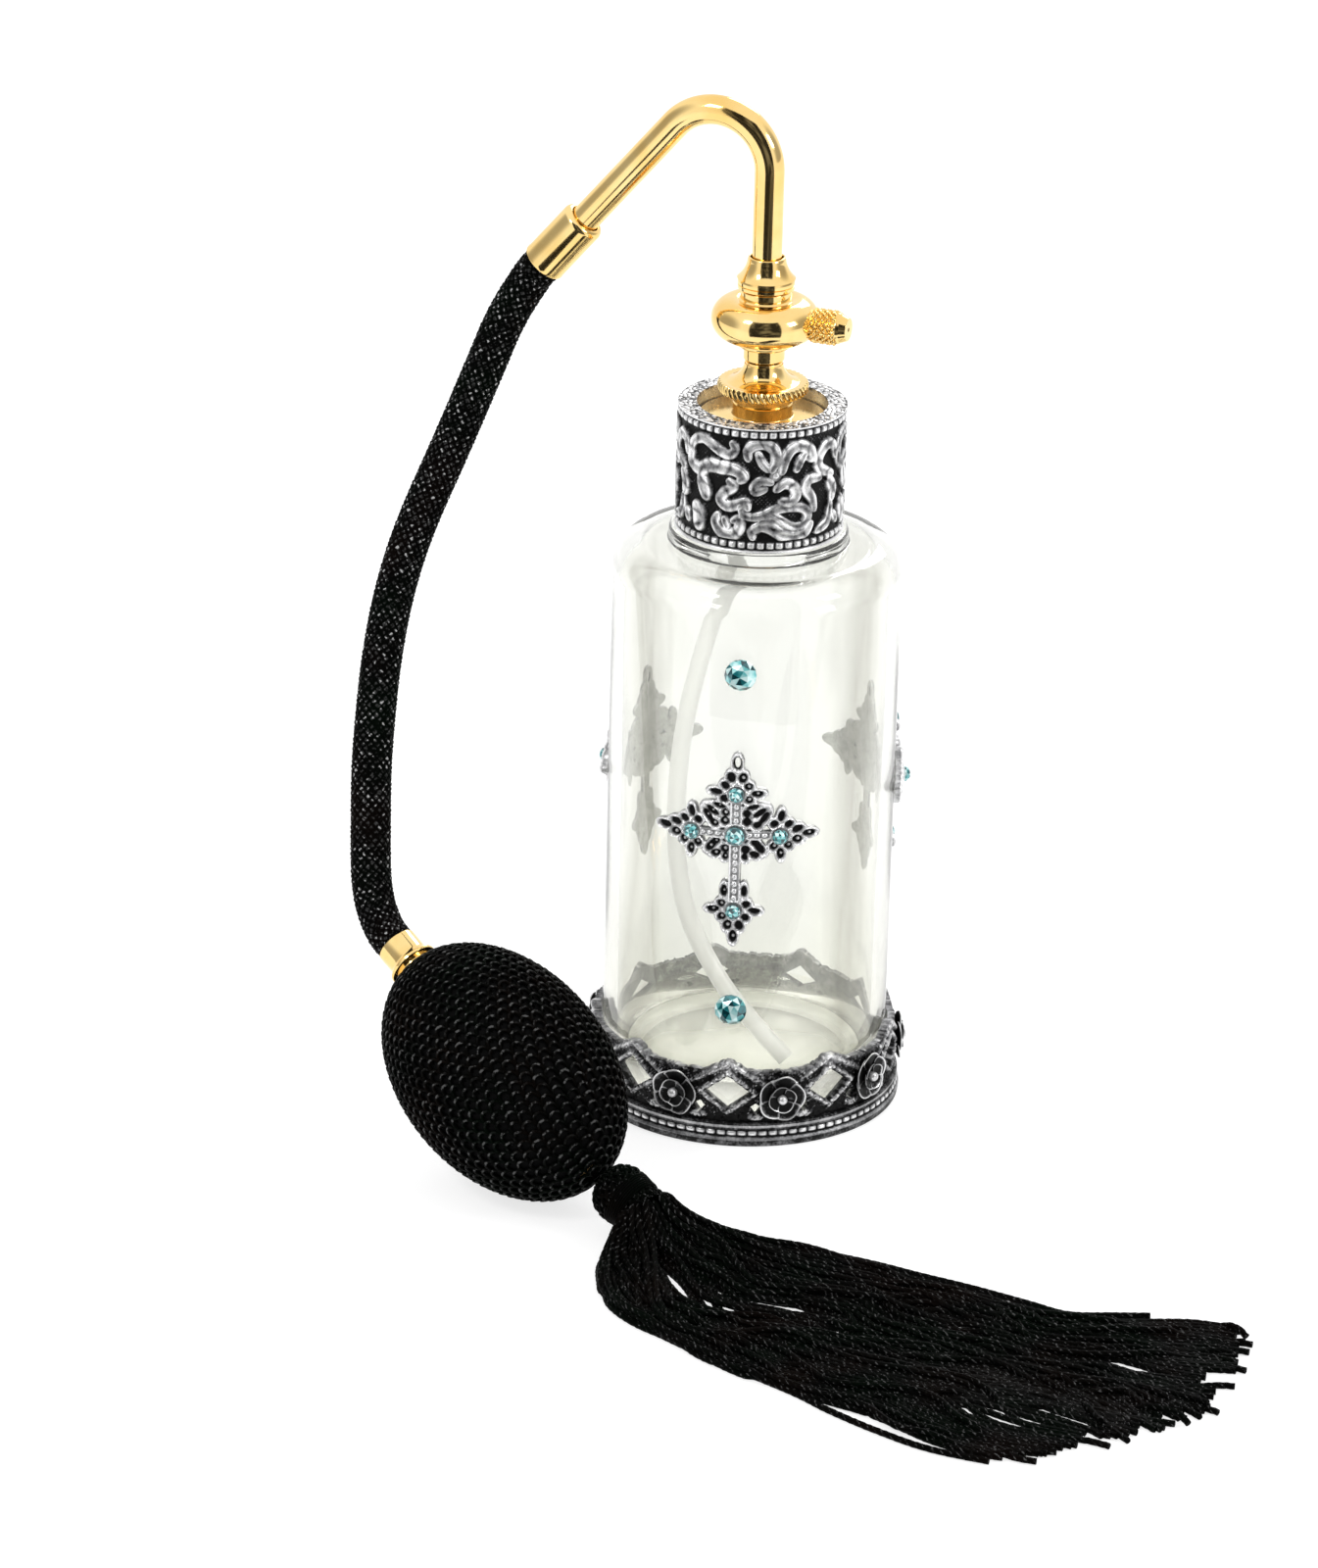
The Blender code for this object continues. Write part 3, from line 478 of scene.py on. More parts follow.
def thread_paint(name, pitch, glint, start):
    """Black synthetic thread with painted glints: pale highlights of the given strength, added to
    its colour where the relief passes start.
    """
    made, tree, shader = new_paint(name, {"Specular IOR Level": 0.012})
    fibres = noise(tree, 1000.0 / pitch, 3.0, 0.6)
    hue = noise(tree, 80.0, 2.0)
    colour = ramp(tree, hue, [(0.35, (0.0007, 0.0019, 0.0009)), (0.5, (0.0011, 0.0012, 0.0010)),
                              (0.68, (0.0024, 0.0014, 0.0010))])
    raised = calculate(tree, "ADD", relief_value(tree), swing(tree, fibres, 1.5))
    # Painted highlights: the colour is lifted where the relief and the fibre noise pass start.
    shine = ramp(tree, raised, [(start - 0.25, 0.0), (start, glint * 0.12),
                                (start + 0.22, glint)])
    gloss = ramp(tree, fibres, [(0.3, 0.35), (0.7, 0.6)])
    finish_paint(tree, shader, mixed_colour(tree, colour, shine, "ADD"), gloss,
                 (fibres, 0.5, 0.1))
    return made


def tube_paint():
    """Milky polyethylene of the dip tube."""
    made, tree, shader = new_paint("clear_tube", {
        "Transmission Weight": 0.6, "Roughness": 0.3, "IOR": 1.4,
        "Base Color": (0.88, 0.88, 0.86, 1.0)})
    add_bump(tree, shader, noise(tree, 700.0, 3.0), 0.15, 0.1)
    return made


def plain_paint(name, colour, rough, metallic, scale, shine=0.5):
    """A hidden inner piece's moulded or turned surface, with slight stains and grain."""
    made, tree, shader = new_paint(name, {"Metallic": metallic, "Specular IOR Level": shine})
    stains = noise(tree, scale, 4.0, 0.6)
    shades = ramp(tree, stains, [(0.3, tuple(c * 0.8 for c in colour)), (0.7, colour)])
    gloss = ramp(tree, stains, [(0.3, rough), (0.7, rough * 1.4)])
    finish_paint(tree, shader, shades, gloss, (noise(tree, scale * 6, 3.0), 0.2, 0.05))
    return made


GLASS = glass_paint()
GOLD = gold_paint("gilt_brass", 0.0, (0.93, 0.62, 0.21), (0.99, 0.74, 0.33))
# A lighter, more orange copy of the gilt for the closure disc: painted light that offsets the
# shade in the collar's recess; its haze is a little rougher.
BRIGHTENED_SATIN_GOLD = gold_paint("brightened_satin_gilt_brass", 0.04, (0.98, 0.62, 0.18), (1.0, 0.76, 0.34))
COLLAR_SILVER = silver_paint("collar_silver", 0.006, 0.95, 0.72)
GALLERY_SILVER = silver_paint("gallery_silver", 0.006, 0.90, 0.70)
CROSS_SILVER = silver_paint("cross_silver", 0.010, 0.90, 0.75)
CRYSTAL = crystal_paint()
BRAID = thread_paint("hose_braid", 0.8, 0.33, 0.97)
CROCHET = thread_paint("bulb_crochet", 0.7, 0.065, 0.92)
STRAND = thread_paint("tassel_cord", 0.6, 0.06, 1.02)
CLEAR_TUBE = tube_paint()
RUBBER = plain_paint("black_rubber", (0.003, 0.003, 0.003), 0.6, 0.0, 400.0, 0.04)
SEAL = plain_paint("white_seal", (0.85, 0.85, 0.82), 0.4, 0.0, 500.0)
BRASS = plain_paint("plain_brass", (0.80, 0.58, 0.26), 0.25, 1.0, 500.0)
STEEL = plain_paint("steel_ball", (0.62, 0.62, 0.64), 0.12, 1.0, 900.0)


# --- the camera, the floor and the light --------------------------------------------
CAMERA_AZIMUTH = math.radians(6.0)
CAMERA_ELEVATION = math.radians(22.447)
CAMERA_ROLL = math.radians(1.459)
CAMERA_DISTANCE = 1200.0
CAMERA_LENS = 164.52
TARGET_SIDE = -15.386
TARGET_HEIGHT = 54.339
LEVEL_RIGHT = np.array([math.cos(CAMERA_AZIMUTH), math.sin(CAMERA_AZIMUTH), 0.0])
TO_CAMERA = np.array([math.sin(CAMERA_AZIMUTH) * math.cos(CAMERA_ELEVATION),
                      -math.cos(CAMERA_AZIMUTH) * math.cos(CAMERA_ELEVATION),
                      math.sin(CAMERA_ELEVATION)])


def make_camera():
    """A long lens, a little above the bottle, rolled slightly as a hand-held one is."""
    level_up = np.cross(TO_CAMERA, LEVEL_RIGHT)
    right = math.cos(CAMERA_ROLL) * LEVEL_RIGHT + math.sin(CAMERA_ROLL) * level_up
    up = math.cos(CAMERA_ROLL) * level_up - math.sin(CAMERA_ROLL) * LEVEL_RIGHT
    target = LEVEL_RIGHT * TARGET_SIDE + np.array([0.0, 0.0, TARGET_HEIGHT])
    place = (target + TO_CAMERA * CAMERA_DISTANCE) * MM
    data = bpy.data.cameras.new("camera")
    data.lens = CAMERA_LENS
    data.clip_start = 0.05
    camera = linked("camera", data)
    turn = Matrix(np.stack([right, up, TO_CAMERA], axis=1).tolist())
    camera.matrix_world = Matrix.Translation(place) @ turn.to_4x4()
    bpy.context.scene.camera = camera


def softbox(name, place, size, power):
    """A square light over the table, aimed at the bottle; sizes and places in millimetres."""
    data = bpy.data.lights.new(name, "AREA")
    data.size = size * MM
    data.energy = power
    light = linked(name, data)
    light.location = Vector(place) * MM
    aim = Vector((0.0, 0.0, 70.0 * MM)) - light.location
    light.rotation_mode = "QUATERNION"
    light.rotation_quaternion = aim.to_track_quat("-Z", "Y")


def staged(name, points, faces, paint):
    """A mesh of the studio, which isn't part of the object; points in millimetres."""
    mesh = bpy.data.meshes.new(name)
    mesh.from_pydata([Vector(point) * MM for point in points], [], faces)
    mesh.materials.append(paint)
    made = linked(name, mesh)
    return made


def black_flag():
    """A black card on the table and up behind the camera, which only reflections see."""
    half = math.radians(34.0)
    near, far, tall = 230.0, 620.0, 820.0
    angles = np.linspace(-half, half, 13) + CAMERA_AZIMUTH
    points = [(r * math.sin(a), -r * math.cos(a), z)
              for r, z in ((near, 1.0), (far, 1.0), (far, tall)) for a in angles]
    faces = grid_faces(3, len(angles), wrap_columns=False).tolist()
    made, tree, shader = new_paint("black_card", {"Roughness": 1.0, "Specular IOR Level": 0.0})
    shade = ramp(tree, noise(tree, 5.0, 1.0), [(0.48, 0.015), (0.68, 0.15)])
    tree.links.new(shade, shader.inputs["Base Color"])
    flag = staged("black_flag", points, faces, made)
    flag.visible_camera = False
    flag.visible_diffuse = False
    flag.visible_transmission = False
    flag.visible_shadow = False


def card(tree, direction, direct, inner, outer, strength):
    """A soft round flag in the surroundings: strength is the share of light that it leaves."""
    aimed = add_node(tree, "ShaderNodeVectorMath", {0: direction, 1: tuple(direct)},
                     operation="DOT_PRODUCT")
    node = add_node(tree, "ShaderNodeMapRange", {
        "Value": aimed.outputs["Value"], "From Min": math.cos(math.radians(outer)),
        "From Max": math.cos(math.radians(inner)), "To Min": 1.0, "To Max": strength},
        interpolation_type="SMOOTHSTEP")
    return node.outputs["Result"]


def studio():
    """A white table in a white tent, with grey flags that draw the edges of gloss and glass."""
    world = bpy.data.worlds.new("studio")
    bpy.context.scene.world = world
    world.use_nodes = True
    tree = world.node_tree
    direction = add_node(tree, "ShaderNodeTexCoord").outputs["Generated"]
    flags = 1.0
    for side in (-1.0, 1.0):
        aim = unit(LEVEL_RIGHT * side + np.array([0.0, 0.0, 0.12]))
        flag = card(tree, direction, aim, inner=12.0, outer=40.0, strength=0.42)
        flags = calculate(tree, "MULTIPLY", flag, flags)
    background = tree.nodes["Background"]
    colour = ramp(tree, flags, [(0.0, 0.0), (1.0, (1.0, 1.0, 1.0))])
    tree.links.new(colour, background.inputs["Color"])
    background.inputs["Strength"].default_value = 1.05
    softbox("key", (-420.0, -520.0, 720.0), 190.0, 2.0)
    softbox("fill", (650.0, -250.0, 480.0), 220.0, 1.4)
    softbox("rim", (150.0, 700.0, 500.0), 260.0, 1.3)
    made, tree, shader = new_paint("floor_paper", {
        "Roughness": 0.9, "Specular IOR Level": 0.05, "Emission Color": (1, 1, 1, 1),
        "Emission Strength": 0.74})
    shade = ramp(tree, noise(tree, 30.0, 2.0), [(0.3, 0.34), (0.7, 0.36)])
    tree.links.new(shade, shader.inputs["Base Color"])
    edge = 4000.0
    corners = [(-edge, -edge, 0), (edge, -edge, 0), (edge, edge, 0), (-edge, edge, 0)]
    staged("floor", corners, [(0, 1, 2, 3)], made)
    black_flag()
    bpy.context.scene.view_settings.view_transform = "Standard"


# --- the gooseneck's plane, which the hose starts from ------------------------------
def in_plane(along, height):
    return np.array([math.cos(GOOSENECK_ANGLE) * along, math.sin(GOOSENECK_ANGLE) * along,
                     height])


LEG = in_plane(math.cos(BEND_ANGLE - math.pi / 2), -math.sin(BEND_ANGLE - math.pi / 2))
BEND_END = in_plane(BEND_RADIUS * (1 - math.cos(BEND_ANGLE)),
                    BEND_START + BEND_RADIUS * math.sin(BEND_ANGLE))
HOSE_START = BEND_END + LEG * (LEG_LENGTH + FERRULE_LENGTH)
HOSE_END = BULB_CENTRE + BULB_AXIS * (BULB_HALF_LENGTH + 5.0)


# --- the cords: hose and tassel -----------------------------------------------------
def hose():
    """The braided hose: two sets of yarns that wind both ways, over and under each other."""
    route = [HOSE_START + LEG * 0.1, HOSE_START + LEG * 2.5] + HOSE_ROUTE
    route += [HOSE_END + BULB_AXIS * 2.5, HOSE_END + BULB_AXIS * 0.1]
    line = smooth_line(route, 0.4)
    along = distances(line)
    first, second = frames_along(line)
    yarns = 16
    yarn_half_width, yarn_flatness, yarn_sides = 0.50, 0.46, 6
    winding = TURN / 23.0
    weave = 0.20
    radius = HOSE_RADIUS - 0.42
    shape = Shape()
    for way in (-1.0, 1.0):
        for yarn in range(yarns):
            angle = TURN * yarn / yarns + way * winding * along
            out = first * np.cos(angle)[:, None] + second * np.sin(angle)[:, None]
            lift = way * weave * np.cos(yarns * winding * along)
            path = line + out * (radius + lift)[:, None]
            side = unit(np.cross(np.gradient(path, axis=0), out))
            # Highest where this yarn lies over the other set; the braid paint puts painted glints
            # there.
            knots = 0.55 + 0.45 * way * np.cos(yarns * winding * along)
            sweep(shape, path, yarn_half_width, yarn_sides, (side, out), flat=yarn_flatness,
                  tone=knots)
    made = piece("hose_braid", shape, BRAID, "head_unit", ("hose_sleeve",))


STRAND_RADIUS = 0.58
STRANDS = 104
# The strands that are meshes of their own, with the two stray ones; the rest share one mesh.
DECLARED_STRANDS = 39
CLUMPS = 14
# Lines over the skirt's near edge, middle and far edge: along it, and across it.
SKIRT_NEAR = [(0, -3.4), (0.4, -8.5), (3.4, -15.2), (11, -22.3), (24, -26.2), (38, -28),
              (53, -28.2), (63, -26.6), (74, -27.2), (85, -25.4), (94, -22.5)]
SKIRT_MIDDLE = [(0, 0), (5, -3), (14, -6.5), (28, -8), (44, -6), (60, -3.5), (78, -1), (107, 4.5)]
SKIRT_FAR = [(0, 3.4), (8, 5), (18, 7.5), (29, 11.2), (40, 13.4), (52, 15), (62, 16.4),
             (70, 19.5), (82, 27.6), (96, 37)]
STRAY_NEAR = [(0, -3.6), (0.6, -9), (3.4, -15), (11, -22), (23, -26), (38, -27.6), (52, -28.4),
              (60, -29.6), (70, -30.2), (80, -29.6), (93, -25.6)]
STRAY_FAR = [(0, 3.6), (9, 7.8), (18, 10), (27, 14), (35, 16.2), (43, 17.6), (52, 19.4),
             (62, 20.8), (69, 21.8), (75, 26.4), (82, 32.2)]


def on_skirt(points):
    """Places on the table for points along and across the tassel's skirt."""
    start = np.array([TASSEL_HEAD_END[0], TASSEL_HEAD_END[1], 0.0])
    points = np.asarray(points, float)
    return start + points[:, :1] * SKIRT_DIRECTION + points[:, 1:2] * SKIRT_ACROSS


def guide(points, count):
    return respaced(smooth_line(points, 0.5), count)


def slow_waves(count, number, period):
    """Smooth random sideways wander, one row for each strand, that starts from nothing."""
    s = np.linspace(0.0, 1.0, count)[None, :]
    waves = np.zeros((number, count))
    for order in range(1, 5):
        phase = RANDOM.uniform(0, TURN, (number, 1))
        size = RANDOM.normal(0, 1.0, (number, 1)) / order
        waves += size * np.sin(TURN * order * s / period + phase)
    return waves * np.clip(s * 4, 0, 1)


def relaxed(places, rounds, gap, held):
    """Strands that push each other apart, sink to the table and keep smooth lines."""
    push_share, longest_push = 0.38, 0.5
    sink = 0.05
    pull_home = np.array([0.06, 0.06, 0.0])
    smoothing = 0.2
    start = places.copy()
    strands = len(places)
    same = np.eye(strands, dtype=bool)[:, :, None]
    for _ in range(rounds):
        apart = places[:, None] - places[None, :]
        far = np.linalg.norm(apart, axis=-1)
        far[np.broadcast_to(same, far.shape)] = gap * 2
        push = np.clip(gap - far, 0.0, None) / np.maximum(far, 0.05)
        move = np.clip((apart * push[..., None]).sum(axis=1) * push_share,
                       -longest_push, longest_push)
        move[..., 2] -= sink
        move += (start - places) * pull_home
        places[:, held:] += move[:, held:]
        middle = (places[:, :-2] + places[:, 2:]) / 2 - places[:, 1:-1]
        places[:, held:-1] += smoothing * middle[:, held - 1:]
        places[..., 2] = np.maximum(places[..., 2], STRAND_RADIUS + 0.05)
    return places


def tassel_skirt():
    """The fringe: strands that leave the neck, fan out in clumps and lie on each other."""
    count = 80
    rounds = 90
    near, middle, far = (guide(points, count) for points in
                         (SKIRT_NEAR, SKIRT_MIDDLE, SKIRT_FAR))
    rank = np.linspace(-1.0, 1.0, STRANDS) + RANDOM.uniform(-0.04, 0.04, STRANDS)
    rank = np.clip(rank, -1.0, 1.0)[:, None, None]
    s = np.linspace(0.0, 1.0, count)
    layer = RANDOM.uniform(0.0, 1.0, STRANDS)[:, None]
    stray = RANDOM.normal(0.0, 0.22, (STRANDS, 1, 1)) * layer[..., None]
    rank = np.clip(rank + stray * np.sin(math.pi * s)[None, :, None], -1.0, 1.0)
    flat = np.where(rank < 0, middle + (near - middle) * -rank, middle + (far - middle) * rank)
    clumps = slow_waves(count, CLUMPS, 0.9)
    clump = np.clip(((rank[:, 0, 0] + 1) / 2 * CLUMPS).astype(int)
                    + RANDOM.integers(-1, 2, STRANDS), 0, CLUMPS - 1)
    inward = 1.0 - 0.7 * np.abs(rank[:, :, 0])
    own = slow_waves(count, STRANDS, 0.6) * (1.0 + 2.4 * layer ** 3)
    flat[..., 1] += (clumps[clump] * 4.0 + own) * inward
    top = np.interp(s, [0.0, 0.06, 0.3, 1.0], [8.4, 8.6, 6.8, 3.2])
    height = STRAND_RADIUS + layer * (top - 2 * STRAND_RADIUS)
    root = TASSEL_HEAD_END[2] + (2 * layer - 1) * 3.2 * np.sqrt(1 - 0.9 * rank[:, :1, 0] ** 2)
    settle = np.clip(s / 0.07, 0.0, 1.0)
    height = root * (1 - settle) + height * settle
    places = np.concatenate([flat, height[..., None]], axis=2)
    places = relaxed(places, rounds, 2.06 * STRAND_RADIUS, 3)
    lines = [np.column_stack([on_skirt(one[:, :2])[:, :2], one[:, 2]]) for one in places]
    for points in (STRAY_NEAR, STRAY_FAR):
        flat = guide(points, count)
        rise = np.interp(s, [0.0, 0.08, 0.3, 1.0], [4.5, 2.4, STRAND_RADIUS, STRAND_RADIUS])
        lines.append(np.column_stack([on_skirt(flat)[:, :2], rise]))
    loose = [len(lines) - 2, len(lines) - 1]
    spread_out = [int(i) for i in np.linspace(0, STRANDS - 1, DECLARED_STRANDS - 2)]
    inner = Shape()
    for index, line in enumerate(lines):
        scale = RANDOM.uniform(0.945, 1.0)
        fine = smooth_line(line, 0.6)
        fine = fine[:max(2, int(len(fine) * scale))]
        own = index in loose or index in spread_out
        shape = Shape() if own else inner
        sweep(shape, fine, STRAND_RADIUS, 8, lobes=3, pitch=1.5, depth=0.18)
        if not own:
            continue
        made = piece("tassel_strand_%03d" % index, shape, STRAND, "head_unit")
        float(distances(fine)[-1]) * MM
    piece("tassel_fringe", inner, STRAND, "head_unit", ("tassel_skirt",))


def tassel_head():
    """The knob of the tassel: a braid of cords over it, and thread wound round its neck."""
    axis = unit(TASSEL_HEAD_START - TASSEL_HEAD_END)
    long = float(np.linalg.norm(TASSEL_HEAD_START - TASSEL_HEAD_END))
    shape = Shape()
    profile = [(0.2, long + 0.3), (2.6, long - 0.1), (4.0, long - 1.4), (4.5, long - 3.4),
               (4.3, 3.2), (4.05, 2.0), (3.9, 0.6), (4.0, -0.8)]
    radius, z = smooth_line(profile, 0.35).T
    lathe(shape, [(r - 0.3, height, 0) for r, height in zip(radius, z)], 40, closed=False,
          origin=TASSEL_HEAD_END, axis=axis)
    cords = 18
    swirl = 1.5 * (z - z[0]) / long
    for way in (-1.0, 1.0):
        for cord in range(cords):
            angle = TURN * cord / cords + way * swirl
            girth = radius + way * 0.18 * np.cos(cords * swirl)
            path = np.column_stack([girth * np.cos(angle), girth * np.sin(angle), z])
            sweep(shape, placed(path, TASSEL_HEAD_END, axis), 0.42, 6, lobes=3, pitch=1.5,
                  depth=0.2)
    turns = 7
    angle = np.linspace(0.0, TURN * turns, turns * 30)
    rise = np.linspace(1.2, 4.0, len(angle))
    girth = np.interp(rise, [1.2, 2.4, 4.0], [4.45, 4.55, 4.8])
    wrap = np.column_stack([girth * np.cos(angle), girth * np.sin(angle), rise])
    sweep(shape, placed(wrap, TASSEL_HEAD_END, axis), 0.22, 6)
    piece("tassel_head_cords", shape, STRAND, "head_unit", ("tassel_head",))


# --- the bulb -----------------------------------------------------------------------
def egg_section(along, inset):
    """The bulb's radius at places along its axis, under its net by an inset."""
    share = np.clip(along / (BULB_HALF_LENGTH - inset), -1.0, 1.0)
    return (BULB_RADIUS - inset) * np.sqrt(1.0 - share ** 2)


def bulb():
    """The crocheted net over the rubber bulb: rows of loops, each hooked over the last."""
    row_pitch = 1.55
    loop_pitch = 2.2
    loop_height = 1.40
    unevenness = 0.06
    yarn = 0.30
    steps = 10
    sides = 6
    inset = 0.55
    ferrule = 4.2
    slant = np.linspace(0.0, math.pi, 400)
    outline = np.column_stack([(BULB_RADIUS - inset) * np.sin(slant),
                               -(BULB_HALF_LENGTH - inset) * np.cos(slant)])
    rows = int(distances(outline)[-1] / row_pitch)
    meridian = respaced(outline, rows + 1)
    corner = np.linspace(0.0, TURN, sides, endpoint=False)
    shape = Shape()
    for row, (radius, along) in enumerate(meridian):
        if radius < 0.6 or along > 0 and radius < ferrule:
            continue
        loops = max(5, int(round(TURN * radius / loop_pitch)))
        phase = np.arange(loops * steps) / steps
        uneven = RANDOM.normal(0.0, unevenness, loops)[phase.astype(int)]
        arch = np.sin(math.pi * (phase % 1.0))
        bend = -0.15 * np.sin(TURN * (phase % 1.0))
        angle = (phase + bend + 0.5 * (row % 2)) * TURN / loops
        rise = (loop_height + uneven) * row_pitch * arch
        place = along + rise * radius / BULB_RADIUS
        girth = egg_section(place, inset) + 0.55 * arch - 0.35
        ring = np.column_stack([girth * np.cos(angle), girth * np.sin(angle), place])
        out = unit(ring / np.array([BULB_RADIUS, BULB_RADIUS, BULB_HALF_LENGTH]) ** 2)
        forward = unit(np.roll(ring, -1, axis=0) - np.roll(ring, 1, axis=0))
        side = unit(np.cross(forward, out))
        points = (ring[:, None] + side[:, None] * (np.cos(corner) * yarn)[None, :, None]
                  + out[:, None] * (np.sin(corner) * yarn)[None, :, None])
        faces = grid_faces(len(ring), sides, wrap_rows=True)
        # The relief value is highest on the crown and top of each loop, where the crochet paint
        # puts painted glints.
        shape.add(placed(points.reshape(-1, 3), BULB_CENTRE, BULB_AXIS), faces,
                  (arch[:, None] * (0.55 + 0.45 * np.sin(corner))[None, :]).ravel())
    net = piece("bulb_crochet", shape, CROCHET, "head_unit", ("bulb_net",),
                sharp=80.0)
    outside, inside, mouth = 0.9, 2.4, 2.9
    first = math.asin(mouth / (BULB_RADIUS - outside))
    slant = np.linspace(first, math.pi - first, 70)
    wall = [((BULB_RADIUS - depth) * math.sin(a), (BULB_HALF_LENGTH - depth) * math.cos(a), 0)
            for depth, angles in ((outside, slant), (inside, slant[::-1])) for a in angles]
    core = lathe(Shape(), wall, 96, origin=BULB_CENTRE, axis=BULB_AXIS)
    skin = piece("bulb_skin", core, RUBBER, "head_unit", ("bulb_rubber",))
    for soft in (net, skin):
        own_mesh(soft)


# --- the gilt brass pieces ----------------------------------------------------------
def rope_edge(radius, height, angle):
    """Slanting teeth pressed into the rim of the bell nut."""
    rim = np.clip((radius - 6.9) / 0.4, 0.0, 1.0)
    teeth = 44
    wave = np.abs(np.sin(teeth / 2 * angle + (height - 125.4) * 1.5))
    return rim * (wave ** 0.7 - 0.75) * 0.55, 0.7 + 0 * radius * angle


def nozzle_knurl(radius, height, angle):
    """Crossed grooves that leave small pyramids round the nozzle."""
    teeth = 7
    slope = 2.7
    band = np.clip((height - 8.2) / 0.3, 0, 1) * np.clip((12.7 - height) / 0.3, 0, 1)
    band = band * (radius > 2.4)
    first = np.abs(np.sin(teeth * angle + slope * height))
    second = np.abs(np.sin(teeth * angle - slope * height))
    return band * (np.minimum(first, second) - 0.4) * 0.6, 0.7 + 0 * radius * angle


def gilt(name, node, corners, body="head_unit", sides=128, paint=GOLD, sharp=40.0, **how):
    """A turned brass piece from its corners (r, z, fillet), which stands for a CAD piece."""
    shape = lathe(Shape(), corners, sides, **how)
    piece(name, shape, paint, body, (node,), sharp=sharp)


def gold_pieces():
    """The closure, the nut, the spray head with its gooseneck, the ferrules and the nozzle."""
    gilt("closure_disc", "closure_plate", [
        (4.9, 124.3, 0.25), (4.9, 123.0, 0), (4.7, 122.8, 0), (4.9, 122.6, 0),
        (4.9, 120.5, 0.3), (10.5, 120.5, 0.25), (10.5, 119.3, 0), (7.2, 119.3, 0),
        (7.2, 109.5, 0.3), (5.8, 109.5, 0.3), (5.8, 117.6, 0), (3.4, 117.6, 0),
        (3.4, 119.7, 0), (4.25, 119.7, 0), (4.25, 124.3, 0)], "bottle", paint=BRIGHTENED_SATIN_GOLD)
    corners = [(3.1, 129.8, 0.15), (3.1, 129.2, 0)] + arc(6.9, 129.9, 3.75, 188, 258, 14)
    corners += [(6.5, 126.35, 0), (7.2, 126.3, 0), (7.35, 125.9, 0), (7.35, 125.0, 0),
                (7.2, 124.65, 0), (3.95, 124.6, 0), (3.95, 122.1, 0), (2.5, 122.1, 0),
                (2.5, 129.8, 0)]
    gilt("rope_edged_nut", "bell_nut", corners, "bell_nut", 352, sharp=50, relief=rope_edge,
         split=0.3)
    corners = [(4.2, 142.0, 0.2), (4.2, 140.6, 0)]
    corners += arc(5.4, HEAD_EQUATOR, 3.5, 106, -104, 40)
    corners += [(4.4, 133.3, 0), (4.4, 132.3, 0.35), (3.4, 132.3, 0.2), (3.4, 130.1, 0.15),
                (2.5, 130.1, 0), (2.5, 139.6, 0), (2.75, 139.6, 0), (2.75, 142.0, 0)]
    gilt("spray_head_gilt", "spray_head", corners)
    corners = [(2.9, 147.9, 0.2)] + arc(8.3, 147.9, 5.2, 188, 228, 16)
    corners += [(4.6, 143.9, 0), (4.7, 143.6, 0.15), (4.7, 143.1, 0), (4.5, 143.0, 0),
                (4.7, 142.9, 0), (4.7, 142.3, 0.1), (2.75, 142.3, 0), (2.75, 147.6, 0)]
    gilt("gooseneck_cone", "gooseneck_socket", corners)
    angles = np.linspace(0.0, BEND_ANGLE, 60)
    route = [in_plane(0.0, z) for z in np.linspace(139.9, BEND_START, 30, endpoint=False)]
    route += [in_plane(BEND_RADIUS * (1 - math.cos(a)), BEND_START + BEND_RADIUS * math.sin(a))
              for a in angles]
    route += [BEND_END + LEG * d for d in np.linspace(0.8, LEG_LENGTH + 4.0, 30)]
    shape = sweep(Shape(), np.array(route), GOOSENECK_RADIUS, 64)
    piece("gooseneck_pipe", shape, GOLD, "head_unit", ("gooseneck_tube",))
    long = FERRULE_LENGTH
    corners = [(3.7, long, 1.0), (3.7, 0.5, 0), (3.78, 0.2, 0), (3.74, 0.0, 0), (2.9, 0.0, 0),
               (2.9, 5.6, 0), (1.8, 5.6, 0), (1.8, long - 4.3, 0), (2.6, long - 4.3, 0),
               (2.6, long, 0.2)]
    gilt("hose_ferrule_gilt", "hose_ferrule", corners, origin=HOSE_START, axis=-LEG)
    long = BULB_HALF_LENGTH
    corners = [(3.5, long + 5.0, 0.2), (3.5, long + 1.6, 0), (3.7, long + 1.0, 0),
               (4.3, long + 0.5, 0.15), (4.3, long, 0.1), (3.3, long, 0), (3.3, long - 1.2, 0),
               (1.6, long - 1.2, 0), (1.6, long + 1.0, 0), (2.9, long + 1.0, 0),
               (2.9, long + 5.0, 0)]
    gilt("bulb_ferrule_gilt", "bulb_ferrule", corners, origin=BULB_CENTRE, axis=BULB_AXIS)
    corners = [(0.35, 14.4, 0.05), (1.9, 14.4, 0.1), (2.35, 13.3, 0.1), (2.6, 12.9, 0),
               (2.6, 8.0, 0.1), (1.3, 8.0, 0), (1.3, 4.0, 0), (0.35, 4.0, 0)]
    out = (math.cos(NOZZLE_ANGLE), math.sin(NOZZLE_ANGLE), 0.0)
    gilt("knurled_nozzle", "nozzle", corners, "nozzle", 216, sharp=60, relief=nozzle_knurl,
         split=0.09, origin=(0.0, 0.0, HEAD_EQUATOR), axis=out)


